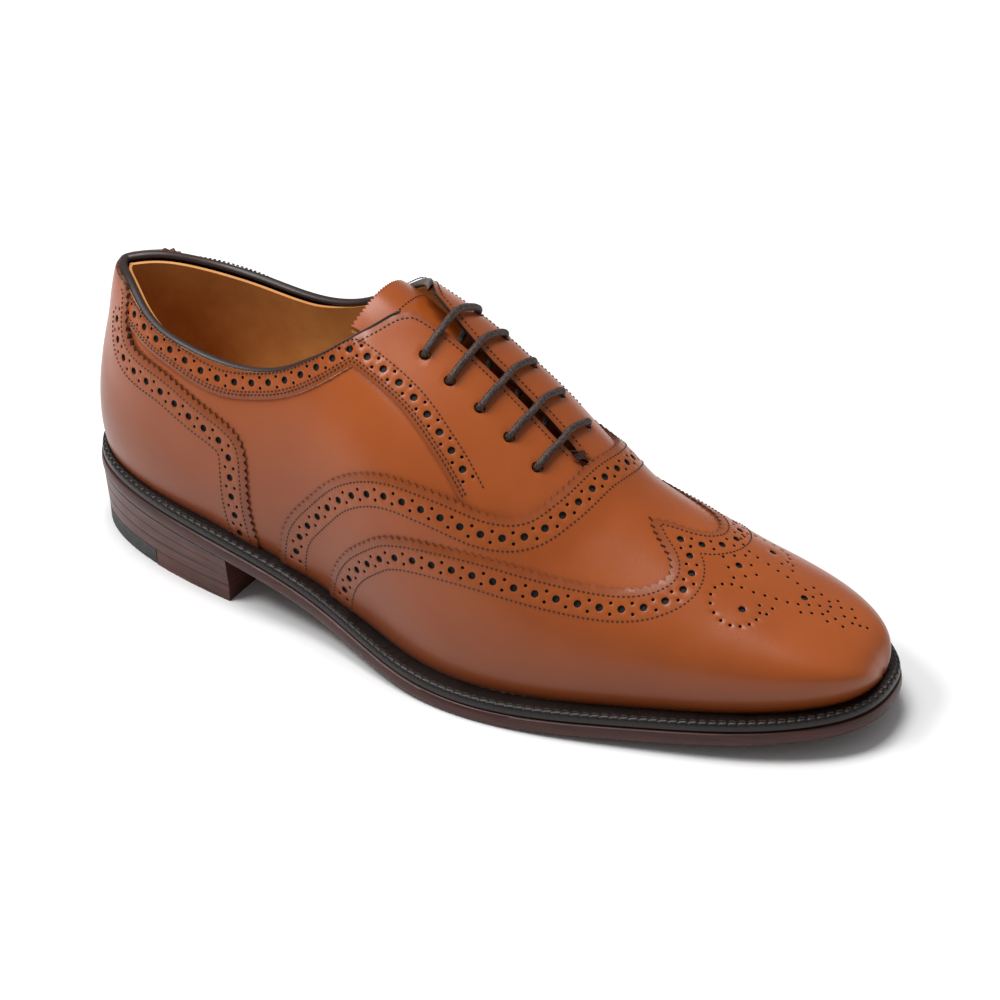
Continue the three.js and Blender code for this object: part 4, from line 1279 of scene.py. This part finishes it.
def make_topline_binding():
    """A folded strip over the edges of the collar bands and linings, from throat to throat."""
    half = even(as_chart(TOPLINE, -1), 1.5, -1)
    half = half[half[:, 0] < 4.3]
    stations = [(-1, q, 1 + w) for q, w in half[::-1]] + [(1, q, 1 + w) for q, w in half[1:]]
    side, q, v = np.array(stations).T
    middle = on_last(side, q, v, np.full(len(q), -ROLL_DEPTH))
    rise = unit(last_point(side, q, v + 0.01) - last_point(side, q, v - 0.01))
    out = last_normal(side, q, v)
    sides = 12
    turn = np.arange(sides) * 2 * math.pi / sides
    rings = [middle + rise * (ROLL_LIFT + ROLL_UP * math.sin(t)) + out * ROLL_WIDE * math.cos(t)
             for t in turn]
    points = np.stack(rings, 1).reshape(-1, 3)
    make_piece("topline_binding_leather", points, rings_to_faces(sides, len(q)), [BINDING],
               ["topline_binding"])


TONGUE_FOOT_Q = 5.8
TONGUE_TOP_Q = 4.02
TONGUE_HALF = 13  # half the width at the foot
TONGUE_FLARE = 3


def tongue_point(t, s, depth):
    """A point of the arched tongue: t from foot to top, s from edge to edge, depth below its face."""
    q = TONGUE_FOOT_Q + (TONGUE_TOP_Q - TONGUE_FOOT_Q) * t
    place, rear, front = [(crest(-1, k) + crest(1, k)) / 2 for k in (q, q - 0.05, q + 0.05)]
    slope = rear - front
    down = unit(np.stack([-slope[:, 2], 0 * q, slope[:, 0]], -1))
    y = s * (TONGUE_HALF + TONGUE_FLARE * t)
    drop = TONGUE_DEPTH + depth + (0.012 + 0.016 * t) * y * y
    place = place + down * drop[:, None]
    place[:, 1] += y
    return place


def make_tongue():
    def leather(s, t, behind):
        pink = np.where((np.round(t * 48) % 2 == 1) & (s == 1), 0.016, 0)
        return tongue_point(s - pink, 2 * t - 1, LEATHER if behind else 0)

    def backing(s, t, behind):
        return tongue_point(s * 0.985, 2 * t - 1, LEATHER + (1.2 if behind else GAP))

    points, faces = plate_points(60, 48, leather)
    make_piece("tongue_leather", points, faces, [UPPER], ["tongue"], body="tongue",
               dye_and_painted_shade=np.ones(len(points)))
    points, faces = plate_points(40, 24, backing)
    make_piece("tongue_lining_leather", points, faces, [CAMEL], ["tongue_lining"],
               body="tongue")


def make_tongue_stitches():
    """One row across the tongue, below its pinked top edge."""
    s = np.linspace(-0.93, 0.93, 19)
    t = np.full(len(s), 0.865)
    places = tongue_point(t, s, -0.08)
    ahead = unit(np.gradient(places, axis=0))
    out = places - tongue_point(t, s, 1.0)
    out = unit(out - ahead * (out * ahead).sum(-1, keepdims=True))
    seam = Stitching(None)
    seam.threads(places, ahead, np.cross(out, ahead), out)
    seam.make("tongue_stitches", body="tongue")


def make_bar_tack():
    """Close threads across the foot of the throat."""
    seam = Stitching(None, length=5.6)
    q = np.linspace(5.83, 5.895, 6)
    chart = np.stack([q, 0.002 * (-1) ** np.arange(6)], -1)
    ahead, left, out = directions(chart, ACROSS)
    seam.threads(on_chart(chart, np.full(6, 0.75), ACROSS), left, ahead, out)
    piece = seam.make("bar_tack_threads")
    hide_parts("bar_tack")


for side, label in SIDES:
    make_quarter_lining(side, label)
make_topline_binding()
make_tongue()
make_tongue_stitches()
make_bar_tack()


# ---- Bottom unit ------------------------------------------
def loop_points(q_end, inset, height, count):
    """A loop inside the outsole's outline from the outer breast round the back to the inner."""
    even_steps = np.linspace(0, 1, count)
    q = q_end * ((1 - np.cos(math.pi * even_steps)) / 4 + even_steps / 2)
    outer = outline(np.full(count, -1), q, np.broadcast_to(inset, count))
    inner = outline(np.full(count, 1), q, np.broadcast_to(inset, count))
    points = np.concatenate([outer, inner[::-1]])
    points[:, 2] = height(points[:, 0])
    return points


def sole_layer(name, node, q_end, profile, material, count=120):
    """A flat layer with a shaped edge: profile is pairs of inset and height rule, bottom first."""
    loops = [loop_points(q_end, inset, height, count) for inset, height in profile]
    size = 2 * count
    faces = rings_to_faces(size, len(loops), cap=False)
    for base in (0, (len(loops) - 1) * size):
        for k in range(count - 1):
            faces.append((base + k, base + k + 1, base + size - 2 - k, base + size - 1 - k))
    make_piece(name, np.concatenate(loops), faces, [material], [node])


def over_floor(height):
    """A height rule that follows the outsole's underside."""
    return lambda x: underside(x) + height


SOLE_EDGE_SHAPE = [  # pairs of inset and height over the underside
    (2.2, 0), (0.8, 0.03), (0.25, 0.5), (0.05, 1.4), (0, 2.5), (0.08, 3.7), (0.3, 4.5),
    (0.9, 4.95), (2.4, SOLE_T),
]
sole_layer("outsole_leather_sole", "outsole", 10,
           [(inset, over_floor(height)) for inset, height in SOLE_EDGE_SHAPE],
           SOLE_EDGE, 200)


LIFT_GAP = 0.02


def heel_layer(name, node, q_end, low, high, inset, taper, material):
    """One layer of the heel between two height rules, with its edges eased."""
    def at(share, shift):
        return lambda x: low(x) + (high(x) - low(x)) * share + shift

    profile = [(inset + taper + 0.22, at(0, 0)), (inset + taper, at(0, 0.18)), (inset, at(1, -0.18)),
               (inset + 0.22, at(1, 0))]
    sole_layer(name, node, q_end, profile, material, 70)


def heel_share(share):
    """A height rule part of the way from the top piece up to the outsole."""
    base = TOP_PIECE + LIFT_GAP
    return lambda x: base + (underside(x) - LIFT_GAP - base) * share


for k in range(3):
    heel_layer(f"heel_lift_{k + 1}_leather", f"heel_lift_{k + 1}", BREAST_Q, heel_share(k / 3),
               heel_share((k + 1) / 3), 1.2 - 0.4 * k, 0.4, HEEL_EDGE)
heel_layer("heel_tip_rubber_piece", "heel_tip_rubber", RUBBER_Q, lambda x: 0 * x,
           lambda x: TOP_PIECE + 0 * x, 1.6, 0.15, TIP_RUBBER)
sole_layer("insole_leather_board", "insole", 9.97,
           [(MARGIN[0] + 5.3, over_floor(8.6)), (MARGIN[0] + 5.2, over_floor(11.2))], INSOLE)


WELT_PITCH = 3.2
WELT_SEAM_START = 0.9  # the station where the seam fades out round the heel


def make_welt():
    """The welt all round, with a wheeled top edge and one stitch between each pair of notches."""
    count = 1500
    fine = np.linspace(0, 20, 4001)
    length = lengths_along(loop_xy(fine))

    def stations(distance):
        u = np.interp(distance, length, fine)
        return np.where(u <= 10, -1, 1), np.where(u <= 10, u, 20 - u)

    s = np.arange(count) * length[-1] / count
    side, q = stations(s)
    pitch = length[-1] / round(length[-1] / WELT_PITCH)
    notch = np.maximum(0, np.cos(2 * math.pi * s / pitch)) ** 4
    feather = margin(q)
    shape = [  # inset, height, and share of the notches' depth
        (0.9, 5.3, 0), (0.6, 5.8, 0), (0.55, 6.9, 0), (0.65, 7.8, 0.3), (1.0, 8.4, 0.8),
        (1.6, 8.65, 0.8), (2.4, WELT_TOP, 0.5),
    ]
    rings = []
    for inset, height, cut in shape:
        p = outline(side, q, np.full(count, inset) + 0.12 * notch * cut)
        p[:, 2] = underside(p[:, 0]) + height - 0.45 * notch * cut
        rings.append(p)
    for height in (WELT_TOP, 5.3):
        p = outline(side, q, feather + 1.6)
        p[:, 2] = underside(p[:, 0]) + height
        rings.append(p)
    points = np.stack(rings, 1).reshape(-1, 3)
    wide = len(rings)
    faces = rings_to_faces(wide, count, cap=False)
    last = (count - 1) * wide
    faces += [(last + k, last + (k + 1) % wide, (k + 1) % wide, k) for k in range(wide)]
    make_piece("welt_leather_strip", points, faces, [WELT], ["welt"])

    middles = (np.arange(int(round(length[-1] / pitch))) + 0.5) * pitch
    side, q = stations(middles)
    keep = q > WELT_SEAM_START
    side, q = side[keep], q[keep]
    p = outline(side, q, np.full(len(q), 2.0))
    p[:, 2] = underside(p[:, 0]) + 8.85
    out = outward(side, q)
    up = np.tile([0, 0, 1.0], (len(q), 1))
    seam = Stitching(None, length=2.3)
    seam.threads(p, np.cross(up, out), out, up)
    seam.make("welt_stitches", material=WELT_THREAD)


make_welt()

# CAD pieces that keep their CAD shape, with their looks.
CARRIED_OVER = {
    "insole_rib": CORK, "cork_filler": CORK, "shank": STEEL, "toe_puff": CLOTH,
    "heel_stiffener": CLOTH, "vamp_lining": CAMEL, "heel_sock": CAMEL,
    "heel_tip_leather": HEEL_EDGE,
}
for node, material in CARRIED_OVER.items():
    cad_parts[node].material_slots[0].material = material


# ---- Floor and light --------------------------------------
def make_floor():
    mesh = bpy.data.meshes.new("floor")
    mesh.from_pydata([(-3, -3, 0), (3, -3, 0), (3, 3, 0), (-3, 3, 0)], [], [(0, 1, 2, 3)])
    shader = Shader("floor_paper", 0.9)
    shader.colour((0.9, 0.9, 0.9, 1))
    mesh.materials.append(shader.material)
    floor = bpy.data.objects.new("floor", mesh)
    bpy.context.scene.collection.objects.link(floor)


def make_light(name, place, aim, size, power):
    data = bpy.data.lights.new(name, "AREA")
    data.shape = "RECTANGLE"
    data.size, data.size_y = size
    data.energy = power
    light = bpy.data.objects.new(name, data)
    light.location = place
    light.rotation_euler = (Vector(aim) - Vector(place)).to_track_quat("-Z", "Y").to_euler()
    bpy.context.scene.collection.objects.link(light)


def make_world(strength):
    world = bpy.data.worlds.new("studio")
    world.use_nodes = True
    world.node_tree.nodes["Background"].inputs["Color"].default_value = (1, 1, 1, 1)
    world.node_tree.nodes["Background"].inputs["Strength"].default_value = strength
    bpy.context.scene.world = world


make_floor()
bpy.context.scene.view_settings.view_transform = "Standard"
make_world(0.3)
make_light("overhead", (-0.2, 0.05, 1.4), (0, 0, 0.04), (0.8, 0.5), 15)
make_light("sheen_box", (-0.62, -0.5, 1.15), (0.02, 0, 0.05), (0.5, 0.32), 9)
